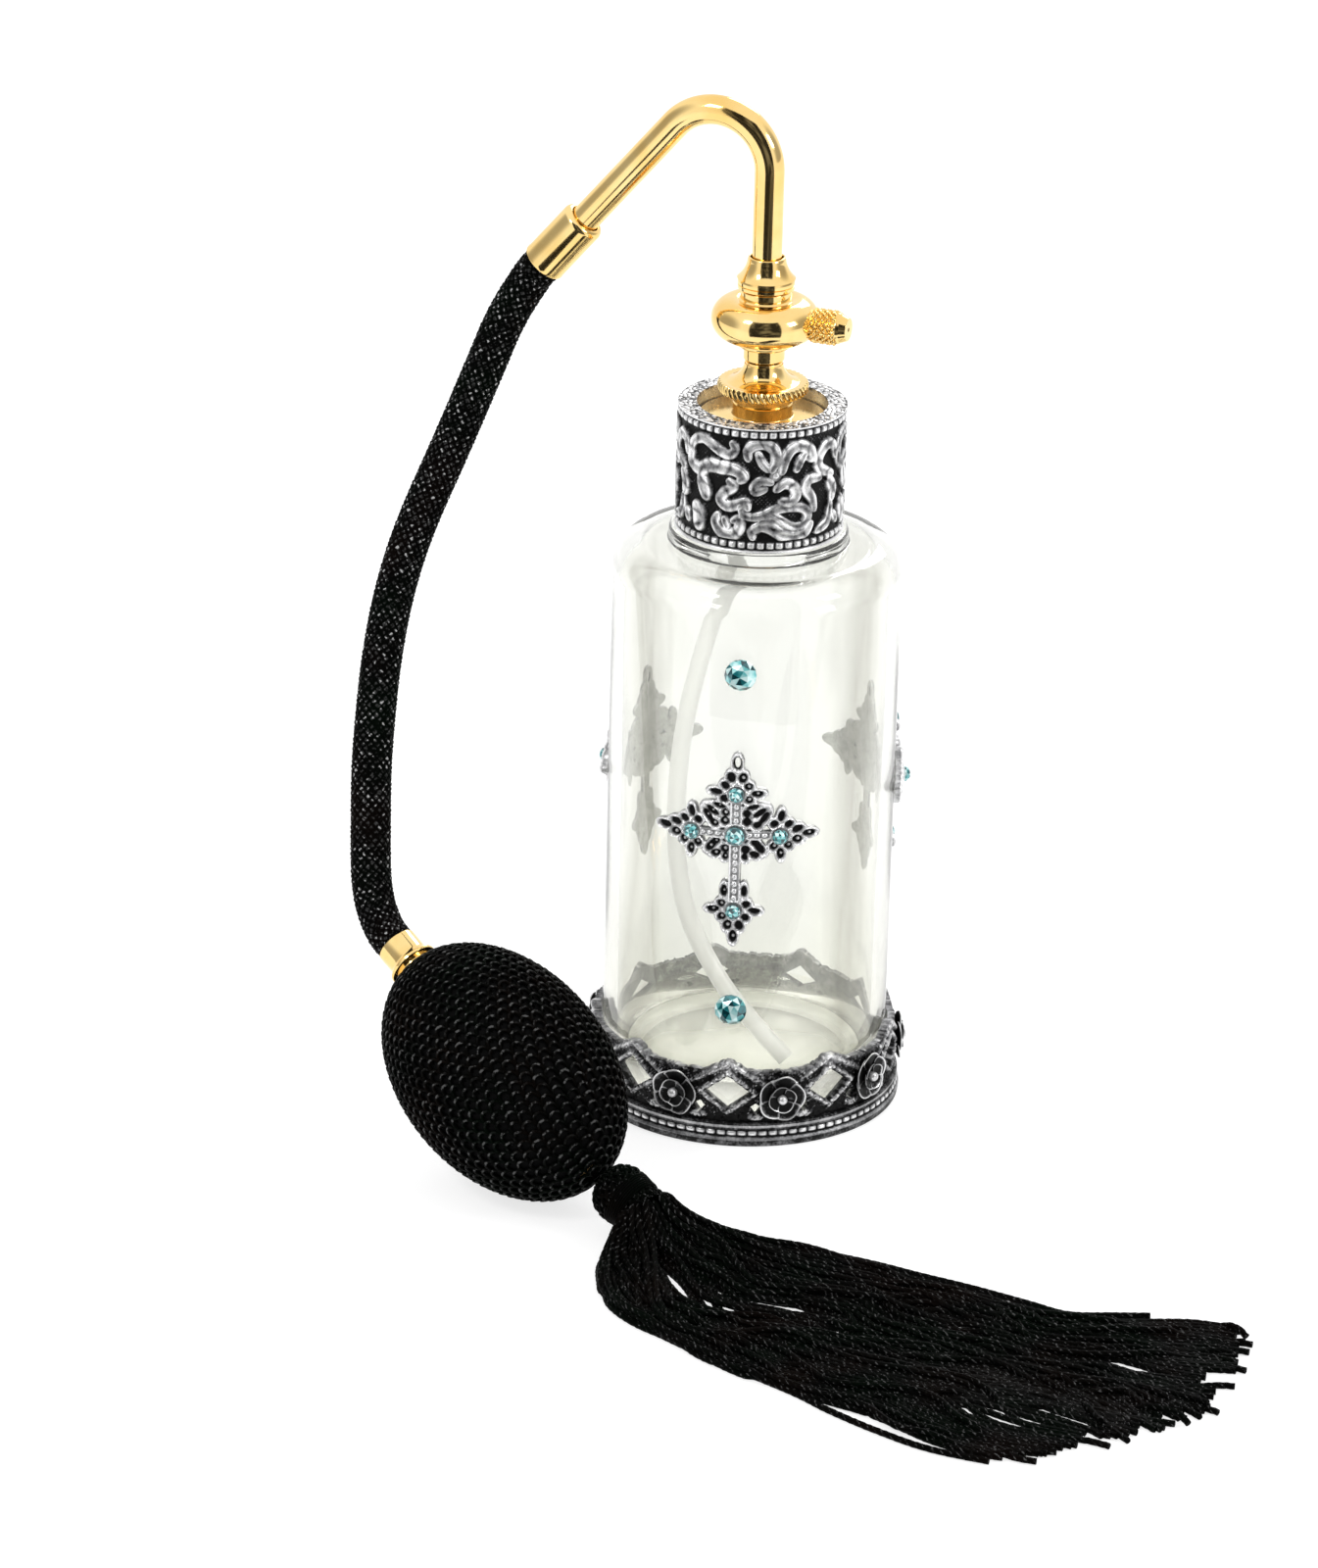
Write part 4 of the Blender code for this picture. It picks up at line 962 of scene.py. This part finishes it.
# --- the bottle ---------------------------------------------------------------------
def bottle():
    """The glass, turned with its thick floor and rounded shoulders, and the dip tube."""
    radius = GLASS_RADIUS
    wall = 2.3
    inner = radius - wall
    corners = [
        (0.0, 9.4, 0), (6.0, 9.3, 0), (inner, 9.0, 4.2), (inner, 96.0, 3.8),
        (7.6, 96.8, 1.6), (7.6, GLASS_TOP, 0.3), (11.6, GLASS_TOP, 0.4), (11.6, 101.0, 0.3),
        (14.9, 101.0, 0.7), (14.9, 99.0, 0.3), (radius, 98.4, 4.6), (radius, 0.1, 1.7),
        (18.0, 0.1, 1.0), (15.0, 1.0, 0), (0.0, 1.4, 0),
    ]

    def zones(r, z, angle):
        """0 on the walls, 0.5 round the thick floor and 1 on the stippled underside."""
        under = (z < 1.6) & (r < 20.0)
        return 0 * r, np.where(under, 1.0, np.where(z < 12.0, 0.5, 0.0)) + 0 * angle

    shape = lathe(Shape(), corners, 160, closed=False, fillet_steps=12, relief=zones)
    glass = piece("bottle_glass", shape, GLASS, "bottle", ("glass_bottle",),
                  weld=True, sharp=70)
    glass.visible_shadow = False
    line = smooth_line(DIP_TUBE_ROUTE, 0.8)
    first, second = frames_along(line)
    sides, tube_outside, tube_inside = 24, 1.5, 1.0
    angles = np.linspace(0.0, TURN, sides, endpoint=False)
    outside, inside = (line[:, None] + first[:, None] * (np.cos(angles) * radius)[:, None]
                       + second[:, None] * (np.sin(angles) * radius)[:, None]
                       for radius in (tube_outside, tube_inside))
    rings = np.concatenate([outside, inside[::-1]])
    tube = Shape().add(rings, grid_faces(len(rings), sides, wrap_rows=True), 0.5)
    made = piece("dip_tube_clear", tube, CLEAR_TUBE, "stem_unit", ("dip_tube",))
    made.visible_shadow = False


# --- relief for the silver ----------------------------------------------------------
def engraving(x, y, wave, seed, groove=1.4):
    """1 on the land and 0 in thin winding grooves, from a sum of waves in all directions."""
    waves = 14
    draw = np.random.default_rng(seed)
    total = np.zeros(np.broadcast(x, y).shape)
    for _ in range(waves):
        angle = draw.uniform(0, math.pi)
        rate = TURN / wave * draw.uniform(0.6, 1.4)
        total += np.sin((x * math.cos(angle) + y * math.sin(angle)) * rate
                        + draw.uniform(0, TURN))
    return np.clip(np.abs(total) / groove, 0.0, 1.0)


def beads(across, height, count, middle, half):
    """A row of square beads: its height as a share of a bead's, over an angle and a height."""
    wide = np.abs(np.cos(across * count / 2)) ** 0.6
    tall = np.clip(1.0 - (np.abs(height - middle) / half) ** 4, 0.0, 1.0)
    return np.clip(wide * 1.5 - 0.35, 0.0, 1.0) * tall


# Scrolls of one third of the collar: their half width, and points along it and up it.
SCROLLS = [
    (0.95, [(-13.2, 15.5), (-13.2, 17.1), (-10.9, 18.4), (-8.7, 17.7), (-7.1, 16.9), (-5.5, 16.6),
            (-4.5, 17.6), (-5.1, 18.6)]),
    (1.20, [(-13.5, 15.6), (-13.5, 13.7), (-11.4, 12.9), (-9.2, 14.1), (-7.1, 14.1), (-4.8, 14.1),
            (-3.0, 13.2), (-3.5, 12.4)]),
    (1.00, [(-2.3, 16.2), (-2.4, 17.6), (-1.3, 18.7), (0.5, 18.9), (2.0, 17.8), (2.3, 16.1),
            (1.7, 14.4)]),
    (0.80, [(-0.7, 17.2), (0.1, 15.6), (1.1, 14.4)]),
    (1.00, [(3.4, 14.0), (4.0, 16.4), (5.1, 17.9), (6.8, 18.2), (8.6, 17.2), (8.9, 15.9),
            (7.8, 16.2)]),
    (0.80, [(5.9, 14.1), (6.6, 15.7), (7.4, 16.8)]),
    (1.00, [(13.7, 12.1), (10.7, 13.7), (10.4, 15.7), (12.2, 17.4), (14.0, 16.9), (14.6, 15.0)]),
    (1.00, [(2.5, 11.0), (4.0, 12.0), (5.6, 11.2), (6.0, 9.8), (5.0, 8.8), (3.4, 8.9)]),
    (0.80, [(1.7, 12.2), (-0.1, 12.5), (-1.2, 11.5), (-0.9, 10.6), (0.7, 11.1)]),
    (0.95, [(10.6, 12.1), (8.4, 12.1), (7.8, 10.7), (9.1, 8.8), (9.6, 6.8)]),
    (1.15, [(13.0, 11.2), (14.1, 9.5), (13.9, 7.8)]),
    (0.95, [(13.5, 7.1), (13.3, 5.4), (12.5, 3.7), (10.3, 2.9)]),
    (0.85, [(-3.4, 7.9), (-2.8, 6.5), (-1.1, 6.2), (0.7, 6.7), (2.7, 7.6), (5.1, 7.8), (7.3, 7.4),
            (8.4, 6.0), (7.5, 4.6), (5.7, 4.4), (3.8, 5.5), (2.1, 6.7)]),
    (1.00, [(-1.2, 2.7), (-1.3, 3.8), (0.2, 4.6), (1.9, 4.2), (3.8, 3.0), (5.9, 2.6), (8.0, 3.1),
            (9.0, 4.5)]),
    (0.85, [(0.1, 5.5), (2.1, 5.6), (4.0, 4.2), (6.2, 3.3)]),
    (1.00, [(-5.5, 12.0), (-4.6, 11.2), (-6.2, 10.0), (-6.9, 8.6), (-5.7, 7.7), (-4.0, 8.1),
            (-2.6, 8.7), (-2.1, 7.7)]),
    (1.05, [(-4.5, 5.3), (-3.6, 5.6), (-3.4, 4.3), (-4.6, 2.9), (-6.6, 3.0), (-7.8, 4.5),
            (-7.4, 5.9)]),
    (0.70, [(-6.2, 5.5), (-5.5, 4.1)]),
    (1.40, [(-11.0, 11.4), (-10.3, 10.1), (-9.8, 8.6)]),
    (1.50, [(-12.0, 6.4), (-11.3, 5.0), (-11.4, 3.1)]),
    (0.80, [(-14.7, 4.9), (-13.9, 3.5)]),
]
FLOWER = (2.4, 13.4)
# The angle on the collar that the scrolls are measured from.
SCROLL_START = math.radians(6.0)


def scroll_relief(across, up, width):
    """Height of the scrollwork, from 0 to 1, with a hollow vein along each scroll.

    The places across wrap round in a given width.
    """
    height = np.zeros(across.shape)
    for size, points in SCROLLS:
        line = smooth_line(points, 0.22)
        half = size * (0.72 + 0.55 * np.sin(np.linspace(0.0, math.pi, len(line))) ** 0.5)
        nearest = np.full(across.shape, 9.0)
        for (x, y), wide in zip(line, half):
            side = (across - x + width / 2) % width - width / 2
            nearest = np.minimum(nearest, np.hypot(side, up - y) / wide)
        edge = np.clip((1.0 - nearest) / 0.34, 0.0, 1.0) ** 0.7
        vein = 0.34 * np.exp(-(nearest / 0.40) ** 2)
        height = np.maximum(height, edge * (1.0 - vein))
    side = (across - FLOWER[0] + width / 2) % width - width / 2
    hub = np.hypot(side, up - FLOWER[1])
    return np.maximum(height, np.clip((1.2 - hub) / 0.3, 0, 1) * (0.7 + 0.3 * (hub < 0.45)))


def silver(name, shape, paint, replaces=(), sharp=60.0):
    """A piece of antiqued silver on the bottle."""
    return piece(name, shape, paint, "bottle", replaces, sharp=sharp)


def neck_collar():
    """The pressed silver sleeve round the neck: scrolls on a hatched ground, and beads."""
    sides, rows, rim_rows = 600, 138, 22
    foot, top, radius = COLLAR_FOOT, COLLAR_TOP, COLLAR_RADIUS
    ground = radius - 0.75
    border, fade = 1.9, 0.25
    bead_rows, bead_count, bead_half = (1.15, 20.25), 54, 0.62
    hatching = 9.0
    angles = np.linspace(0.0, TURN, sides, endpoint=False)
    angle, z = np.meshgrid(angles, np.linspace(foot, top, rows))
    third = TURN * radius / 3
    across = ((angle - SCROLL_START) * radius + third / 2) % third - third / 2
    up = z - foot
    # The scrolls' field between the borders, with the beads outside it.
    field = (np.clip((up - border) / fade, 0, 1)
             * np.clip((top - foot - border - up) / fade, 0, 1))
    scrolls = scroll_relief(across, up, third)
    on_scroll = scrolls > 0.04
    hatch = 0.5 + 0.25 * (np.sin((across + up) * hatching) + np.sin((across - up) * hatching))
    wear = engraving(angle * radius, z, 3.2, 3, 4.2)
    rise = np.where(on_scroll, 0.16 + 0.62 * scrolls, 0.10 * hatch)
    bead = np.maximum(*(beads(angle, up, bead_count, row, bead_half) for row in bead_rows))
    lip = np.clip(np.maximum(up - 21.0, 0.38 - up) / 0.1, 0.0, 1.0)
    band = np.maximum(0.18 + 0.5 * bead, 0.72 * lip)
    height = rise * field + band * (1 - field)
    crest = np.clip((scrolls - 0.35) / 0.6, 0.0, 1.0)
    tone = np.where(on_scroll, 0.10 + 0.74 * crest ** 1.4 * (0.45 + 0.55 * wear)
                    + 0.16 * wear, 0.30 * hatch - 0.10)
    tone = tone * field + (0.05 + 0.8 * np.maximum(bead, lip)) * (1 - field)
    rings = [np.stack([ground + height, z], -1)]
    tones = [tone]
    # The engraved rim on top, and then the inside.
    spans = np.linspace(radius - 0.15, COLLAR_OPENING, rim_rows)
    flat_angle, flat_radius = np.meshgrid(angles, spans)
    cut = engraving(flat_angle * 12.4, flat_radius, 1.4, 8, 3.6)
    rim = np.clip(np.minimum(flat_radius - COLLAR_OPENING, radius - flat_radius) / 0.3, 0, 1)
    rings.append(np.stack([flat_radius, top + 0.02 - 0.16 * (1 - cut) * rim], -1))
    tones.append(0.12 + 0.72 * cut)
    inner = [(COLLAR_OPENING, top - 0.6), (COLLAR_OPENING, 119.0), (12.0, 119.0),
             (12.0, foot), (ground, foot)]
    for corner in inner:
        rings.append(np.broadcast_to(corner, (1, sides, 2)))
        tones.append(np.full((1, sides), 0.75))
    section = np.concatenate(rings)
    points = around(angles, section[..., 0], section[..., 1])
    shape = Shape().add(points, grid_faces(len(section), sides, wrap_rows=True),
                        np.concatenate(tones).ravel())
    silver("collar_relief", shape, COLLAR_SILVER, ("neck_collar",), 75)


def openwork(shape, field, relief, x_places, z_places, place, back, back_tone, wrap=False):
    """Adds a pierced plate: solid where field(x, z) is below 0, with its front in relief."""
    x, z = np.meshgrid(x_places, z_places)
    step = x_places[1] - x_places[0]
    solid = field(x, z) < 0
    columns = len(x_places)
    rows = len(z_places)
    faces = grid_faces(rows, columns, wrap_columns=wrap)
    inside = solid.ravel()[faces].sum(axis=1)
    faces = faces[inside >= 3]
    used = np.unique(faces)
    px, pz = x.ravel()[used], z.ravel()[used]
    edges = np.concatenate([faces[:, [k, (k + 1) % 4]] for k in range(4)])
    pairs, counts = np.unique(np.sort(edges, axis=1), axis=0, return_counts=True)
    open_pairs = pairs[counts == 1]
    # The points on an open edge slide to where the field is 0.
    rim = np.isin(used, open_pairs)
    small = step * 0.2
    for _ in range(3):
        value = field(px, pz)
        slope_x = (field(px + small, pz) - value) / small
        slope_z = (field(px, pz + small) - value) / small
        steep = np.maximum(slope_x ** 2 + slope_z ** 2, 0.05)
        px = px - np.where(rim, np.clip(value * slope_x / steep, -step, step), 0)
        pz = pz - np.where(rim, np.clip(value * slope_z / steep, -step, step), 0)
    height, tone = relief(px, pz)
    order = np.full(rows * columns, -1)
    order[used] = np.arange(len(used))
    front = order[faces]
    count = len(used)
    points = np.concatenate([place(px, pz, height), place(px, pz, np.full(count, back))])
    keys = {tuple(pair) for pair in open_pairs.tolist()}
    walls = [(order[b], order[a], order[a] + count, order[b] + count)
             for a, b in edges.tolist() if (min(a, b), max(a, b)) in keys]
    every = front.tolist() + (front[:, ::-1] + count).tolist() + walls
    return shape.add(points, every, np.concatenate([tone, np.full(count, back_tone)]))


def base_gallery():
    """The openwork gallery that holds the bottle, its roses, and its beaded foot."""
    sector = TURN / ROSES
    foot = 4.2

    def local(angle):
        """How far a place is along the wall from the middle of its window."""
        return ((angle + sector / 2) % sector - sector / 2) * GALLERY_RADIUS

    def lozenge(u, z):
        """0 in the middle of a window and 1 on its edge."""
        return u / 4.0 + np.abs(z - 9.6) / 3.0

    def field(angle, z):
        u = np.abs(local(angle))
        small = 1.0 - (np.abs(u - 4.8) / 1.05 + np.abs(z - 6.9) / 1.0 + 0.25 * (z - 6.9))
        wave = engraving(angle * GALLERY_RADIUS, z * 0.3, 2.4, 5)
        crown = 13.1 + 1.9 * np.exp(-(u / 2.7) ** 2) + 0.35 * wave
        window = (1.0 - lozenge(u, z)) * 1.9
        return np.maximum.reduce([window, small * 0.75, z - crown, foot - 0.2 - z])

    def relief(angle, z):
        u = np.abs(local(angle))
        bar = np.abs(lozenge(u, z) - 1.20) * 2.3
        roof = np.abs(z - (15.0 - 0.62 * u)) * 0.85
        leaf = np.hypot((u - 4.9) / 1.9, (z - 5.3) / 0.8)
        stipple = engraving(angle * GALLERY_RADIUS, z, 0.75, 6)
        height = 0.16 + 0.60 * np.exp(-(bar / 0.40) ** 2) + 0.5 * np.exp(-(roof / 0.45) ** 2)
        height = np.maximum(height, np.clip(1.2 - leaf, 0, 0.7))
        upper = np.clip((z - 11.5) / 2.5, 0.0, 1.0)
        tone = np.clip((height - 0.22) * 1.1, 0, 1) * (0.2 + 0.8 * stipple ** 3) + 0.25 * upper
        specks = engraving(angle * GALLERY_RADIUS, z, 0.8, 9, 7.0)
        tone = tone + 0.62 * specks ** 2 * np.clip((z - 4.6) / 1.0, 0.2, 1.0)
        height = height + 0.34 * (stipple - 0.5)
        return GALLERY_RADIUS - 0.55 + height, tone

    def place(angle, z, radius):
        return around(angle, radius, z)

    shape = openwork(Shape(), field, relief, np.linspace(0, TURN, 680, endpoint=False),
                     np.arange(3.8, 15.6, 0.24), place, GLASS_RADIUS + 0.35, 0.40,
                     wrap=True)
    silver("gallery_openwork", shape, GALLERY_SILVER, ("base_gallery",))

    bead_row = 2.45

    def beaded(radius, height, angle):
        """A row of beads in a groove, between two worn mouldings."""
        outer = radius > GALLERY_RADIUS
        row = beads(angle, height, 94, bead_row, 0.42) * outer
        groove = (np.abs(height - bead_row) < 0.62) * outer
        tone = np.where(groove > 0, 0.02 + 0.80 * row, 0.20)
        tone = np.where((height > 3.3) & (height < 3.9) & outer, 0.50, tone)
        tone = np.where((height > 1.2) & (height < 1.7) & outer, 0.42, tone)
        return 0.32 * row - 0.22 * groove + 0 * angle, tone

    inner = GLASS_RADIUS + 0.35
    corners = [(GALLERY_RADIUS, 4.3, 0), (26.15, 4.2, 0.15), (26.3, 3.9, 0.1), (26.15, 3.5, 0),
               (26.25, 3.1, 0), (26.3, 1.8, 0), (26.6, 1.4, 0.15), (26.45, 0.05, 0.5),
               (inner, 0.05, 0), (inner, 4.3, 0)]
    rim = lathe(Shape(), corners, 752, relief=beaded, split=0.16)
    silver("gallery_foot", rim, GALLERY_SILVER)

    roses = Shape()
    for index in range(ROSES):
        angle = sector * (index + 0.5)
        out = around(angle, 1.0, 0.0)
        centre = out * (GALLERY_RADIUS + 0.1) + np.array([0, 0, ROSE_HEIGHT])
        rose(roses, centre, out, index)
    silver("gallery_roses", roses, GALLERY_SILVER, sharp=55)


def rose(shape, centre, out, index):
    """One rose: five open petals, four inner ones over them, and a bead in the middle."""
    sides, rows, thickness = 13, 13, 0.3
    points_each = rows * sides
    across = np.linspace(-1.0, 1.0, sides)[None, :]
    outward = np.linspace(0.0, 1.0, rows)[:, None]
    faces = grid_faces(rows, sides, wrap_columns=False)
    ring = np.concatenate([np.arange(sides), np.arange(1, rows) * sides + sides - 1,
                           np.arange(sides - 2, -1, -1) + (rows - 1) * sides,
                           np.arange(rows - 2, 0, -1) * sides])
    wall = np.stack([ring, np.roll(ring, -1), np.roll(ring, -1) + points_each,
                     ring + points_each], 1)
    every = np.concatenate([faces, faces[:, ::-1] + points_each, wall])
    # Bright along the tip and the two edges of a petal: worn silver there, and in part a painted
    # highlight on the curled rims.
    tone = 0.02 + 0.95 * np.exp(-((outward - 1.0) / 0.06) ** 2) + 0.12 * outward
    tone = np.maximum(tone, 0.7 * np.exp(-((np.abs(across) - 1.0) / 0.08) ** 2) * outward)
    tone = (tone + 0 * across).ravel()
    # The petals of a whorl: how many, their length, half their width, lift and tilt.
    for count, reach_out, spread, lift, tilt in ((5, 4.0, 0.80, 0.15, 0.9),
                                                 (4, 2.35, 0.95, 0.75, 0.85)):
        for petal in range(count):
            turn = TURN * (petal + 0.13 * index) / count + 0.4 * lift
            length = reach_out * (1 - 0.14 * across ** 4 + 0.03 * np.cos(5 * across))
            radius = 0.5 + outward * (length - 0.5)
            angle = turn + across * spread * (0.9 + 0.1 * outward)
            cup = lift + 0.55 * tilt * outward ** 2 - 0.28 * across ** 2 * outward
            curl = 0.22 * np.exp(-((outward - 0.97) / 0.07) ** 2)
            overlap = 0.16 * across
            front = np.stack([radius * np.cos(angle), radius * np.sin(angle),
                              cup + curl + overlap + 0 * radius], -1)
            back = front - np.array([0.0, 0.0, thickness])
            points = np.concatenate([front.reshape(-1, 3), back.reshape(-1, 3)])
            shape.add(placed(points, centre, out), every, np.concatenate([tone, tone * 0]))
    corners = [(0.0, 1.9, 0), (0.45, 1.78, 0), (0.74, 1.5, 0), (0.82, 1.1, 0), (0.7, 0.3, 0),
               (0.0, 0.3, 0)]
    lathe(shape, corners, 16, closed=False, origin=centre, axis=out)


# --- the crosses and the crystals ---------------------------------------------------
# Pits of the cross: place, half length, half width and the long side's angle in degrees.
ARM_CELLS = [(4.8, 0.0, 1.05, 0.52, 0), (2.85, 0.92, 0.85, 0.58, 12),
             (1.35, 1.85, 0.66, 0.55, 45), (0.15, 3.3, 0.95, 0.48, 85),
             (-0.95, 1.95, 0.66, 0.55, 120)]
UPPER_CELLS = [(3.75, 3.95, 1.2, 0.42, 38), (4.55, 3.1, 1.15, 0.42, 55),
               (3.4, 1.75, 0.66, 0.5, 20), (1.75, 2.3, 0.66, 0.6, 45),
               (1.7, 3.75, 0.6, 0.55, 80), (2.7, 4.95, 1.0, 0.35, 15)]
LOWER_CELLS = [(1.6, -2.6, 0.66, 0.6, -45), (3.1, -1.35, 0.6, 0.45, -20),
               (3.95, -2.35, 1.05, 0.5, -52), (3.1, -3.5, 0.8, 0.5, -20),
               (1.55, -4.0, 0.6, 0.4, -75), (1.6, -10.1, 1.0, 0.4, 90)]
RIM = 0.50
BAIL_HEIGHT = 12.6
# The four arms' small crystals: the way from the middle in degrees, and how far.
TERMINALS = [(0, 7.1), (90, 7.2), (180, 7.1), (270, 13.4)]


def cross_cells():
    """Every pit of the cross, as ellipses, from one terminal's and one side's."""
    cells = [(0.0, BAIL_HEIGHT, 1.1, 0.6, 90)]
    for way, reach_out in TERMINALS:
        cos_way, sin_way = math.cos(math.radians(way)), math.sin(math.radians(way))
        for along, across, long, wide, angle in ARM_CELLS:
            if way == 90 and along > 4:
                continue
            for side in (1, -1) if across else (1,):
                a, c = reach_out + along, across * side
                cells.append((a * cos_way - c * sin_way, a * sin_way + c * cos_way,
                              long, wide, way + angle * side))
    for x, z, long, wide, angle in UPPER_CELLS + LOWER_CELLS:
        for side in (1, -1):
            cells.append((x * side, z, long, wide, angle * side))
    return [(x, z, long * 1.10, wide * 1.20, angle) for x, z, long, wide, angle in cells]


CELLS = cross_cells()
# The two bars: both ends and half the width.
SHAFTS = [(-6.0, 0.0, 6.0, 0.0, 0.8), (0.0, -12.0, 0.0, 6.2, 1.0)]


def cell_distance(x, z):
    """How far a place is outside the nearest pit, with soft corners; below 0 inside one."""
    total = np.zeros(x.shape)
    soft = 0.20
    for cx, cz, long, wide, angle in CELLS:
        turn = math.radians(angle)
        u = (x - cx) * math.cos(turn) + (z - cz) * math.sin(turn)
        v = (z - cz) * math.cos(turn) - (x - cx) * math.sin(turn)
        gap = (np.hypot(u / long, v / wide) - 1.0) * (wide + (long - wide) * 0.25)
        total += np.exp(-np.minimum(gap, 9.0) / soft)
    return -soft * np.log(np.maximum(total, 1e-20))


def shaft_distance(x, z):
    """How far a place is from the middle line of the nearer shaft, as a share of its width."""
    nearest = np.full(x.shape, 9.0)
    along = np.zeros(x.shape)
    for x1, z1, x2, z2, half in SHAFTS:
        length = math.hypot(x2 - x1, z2 - z1)
        ux, uz = (x2 - x1) / length, (z2 - z1) / length
        t = np.clip((x - x1) * ux + (z - z1) * uz, 0.0, length)
        gap = np.hypot(x - x1 - t * ux, z - z1 - t * uz) / half
        along = np.where(gap < nearest, t, along)
        nearest = np.minimum(nearest, gap)
    return nearest, along


def seat_distance(x, z):
    """How far a place is outside the rim of the nearest crystal."""
    seats = [(0.0, 0.0, 1.95)] + [(reach_out * math.cos(math.radians(way)),
                                   reach_out * math.sin(math.radians(way)), 1.68)
                                  for way, reach_out in TERMINALS]
    return np.minimum.reduce([np.hypot(x - cx, z - cz) - size for cx, cz, size in seats])


def cross_field(x, z):
    """Below 0 where the cross is solid, with the hole in its bail left open."""
    pits = cell_distance(x, z) - RIM
    shaft = (shaft_distance(x, z)[0] - 1.0) * 0.95
    solid = np.minimum.reduce([pits, shaft, seat_distance(x, z)])
    hole = (1.0 - np.hypot(x / 0.45, (z - BAIL_HEIGHT) / 0.95)) * 0.4
    return np.maximum(solid, hole)


def cross_relief(x, z):
    """Height and tone: rims round the pits, grains in some, pearled bars and the seats."""
    pits = cell_distance(x, z)
    crest = 0.32 + 0.68 * np.exp(-((pits - 0.25) / 0.22) ** 2)
    height = np.where(pits < 0, 0.12 + 0.55 * np.exp(-(pits / 0.10) ** 2), crest)
    bead = np.zeros(x.shape)
    for cx, cz, _, wide, _ in CELLS[1::2]:
        gap = np.hypot(x - cx - 0.1, z - cz - 0.1) / (wide * 0.55)
        bead = np.maximum(bead, np.sqrt(np.clip(1.0 - gap ** 2, 0.0, 1.0)))
    height = np.maximum(height, 0.12 + 0.55 * bead)
    shaft, along = shaft_distance(x, z)
    rail = np.exp(-((shaft - 0.82) / 0.2) ** 2)
    pearl = np.clip(1.0 - np.hypot(shaft / 0.5, ((along / 1.25) % 1.0 - 0.5) / 0.46) ** 2, 0, 1)
    bar = 0.52 + 0.48 * np.maximum(rail, np.sqrt(pearl) * 0.9)
    height = np.where(shaft < 1.0, bar, height)
    seat = seat_distance(x, z)
    height = np.where(seat < 0, 0.55 + 0.45 * np.exp(-((seat + 0.16) / 0.14) ** 2), height)
    return height, np.clip((height - 0.16) / 0.74, 0.0, 1.0)


def crosses():
    """The three pierced crosses round the glass, which share one mesh."""
    def place(x, z, height):
        return around(x / CROSS_SEAT, CROSS_SEAT + 0.35 + height, z + CROSS_CENTRE)

    shape = openwork(Shape(), cross_field, cross_relief, np.arange(-13.6, 13.6, 0.125),
                     np.arange(-20.8, 15.2, 0.125), place, -0.3, 0.66)
    first = silver("cross_front_relief", shape, CROSS_SILVER, ("cross_front",))
    for index, side in enumerate(("right", "left"), 1):
        made = linked("cross_%s_relief" % side, first.data)
        made.rotation_euler.z = TURN * index / 3
        attach(made, "bottle", ("cross_" + side,))


def crystals():
    """Cut stones with a table, a crown of facets and a girdle, one for each CAD stone."""
    for node in sorted(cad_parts):
        if not node.startswith(("stone_", "big_stone_")):
            continue
        points = node_points(node)
        middle = (points.min(axis=0) + points.max(axis=0)) / 2
        out = unit(np.array([middle[0], middle[1], 0.0]))
        depths = points @ out
        radius = (points[:, 2].max() - points[:, 2].min()) / 2
        if node.startswith("big"):
            radius *= 1.08
        height = depths.max() - depths.min()
        centre = out * depths.min() + np.array([0.0, 0.0, middle[2]])
        turn = RANDOM.uniform(0, TURN)
        # Corners in a ring, share of the radius, share of the height, and turn in steps.
        rings = [(8, 0.52, 1.0, 0.5), (8, 0.80, 0.72, 0.0), (16, 1.0, 0.30, 0.25),
                 (16, 1.0, 0.02, 0.25)]
        work = bmesh.new()
        for count, share, level, offset in rings:
            for step in range(count):
                angle = turn + TURN * (step + offset) / count
                local = [math.cos(angle) * radius * share, math.sin(angle) * radius * share,
                         height * level]
                work.verts.new(placed([local], centre, out)[0] * MM)
        bmesh.ops.convex_hull(work, input=work.verts)
        bmesh.ops.dissolve_limit(work, angle_limit=math.radians(2), verts=work.verts,
                                 edges=work.edges)
        bmesh.ops.recalc_face_normals(work, faces=work.faces)
        # The pavilion's facets show through the table as wedges.
        table = max(work.faces, key=lambda face: face.normal.dot(Vector(out)))
        bmesh.ops.poke(work, faces=[table])
        mesh = bpy.data.meshes.new(node + "_cut")
        work.to_mesh(mesh)
        work.free()
        # Each facet gets a random value, which the crystal paint turns into a painted reflection,
        # light or dark.
        tone = mesh.attributes.new("relief", "FLOAT", "FACE")
        tones = RANDOM.uniform(0.0, 1.0, len(mesh.polygons)).astype(np.float32)
        tone.data.foreach_set("value", tones)
        mesh.materials.append(CRYSTAL)
        attach(linked(node + "_cut", mesh), "bottle", (node,))


def inner_pieces():
    """Better finishes for the CAD pieces that stay: gaskets, stem, valves and air tube."""
    finishes = {"neck_gasket": SEAL, "stem_gasket": SEAL, "feed_stem": BRASS,
                "hose_air_tube": RUBBER, "outlet_valve_cage": BRASS, "inlet_valve_cage": BRASS,
                "outlet_valve_ball": STEEL, "inlet_valve_ball": STEEL}
    for node, paint in finishes.items():
        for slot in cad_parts[node].material_slots:
            slot.material = paint


make_camera()
studio()
hose()
tassel_skirt()
tassel_head()
bulb()
gold_pieces()
bottle()
neck_collar()
base_gallery()
crosses()
crystals()
inner_pieces()
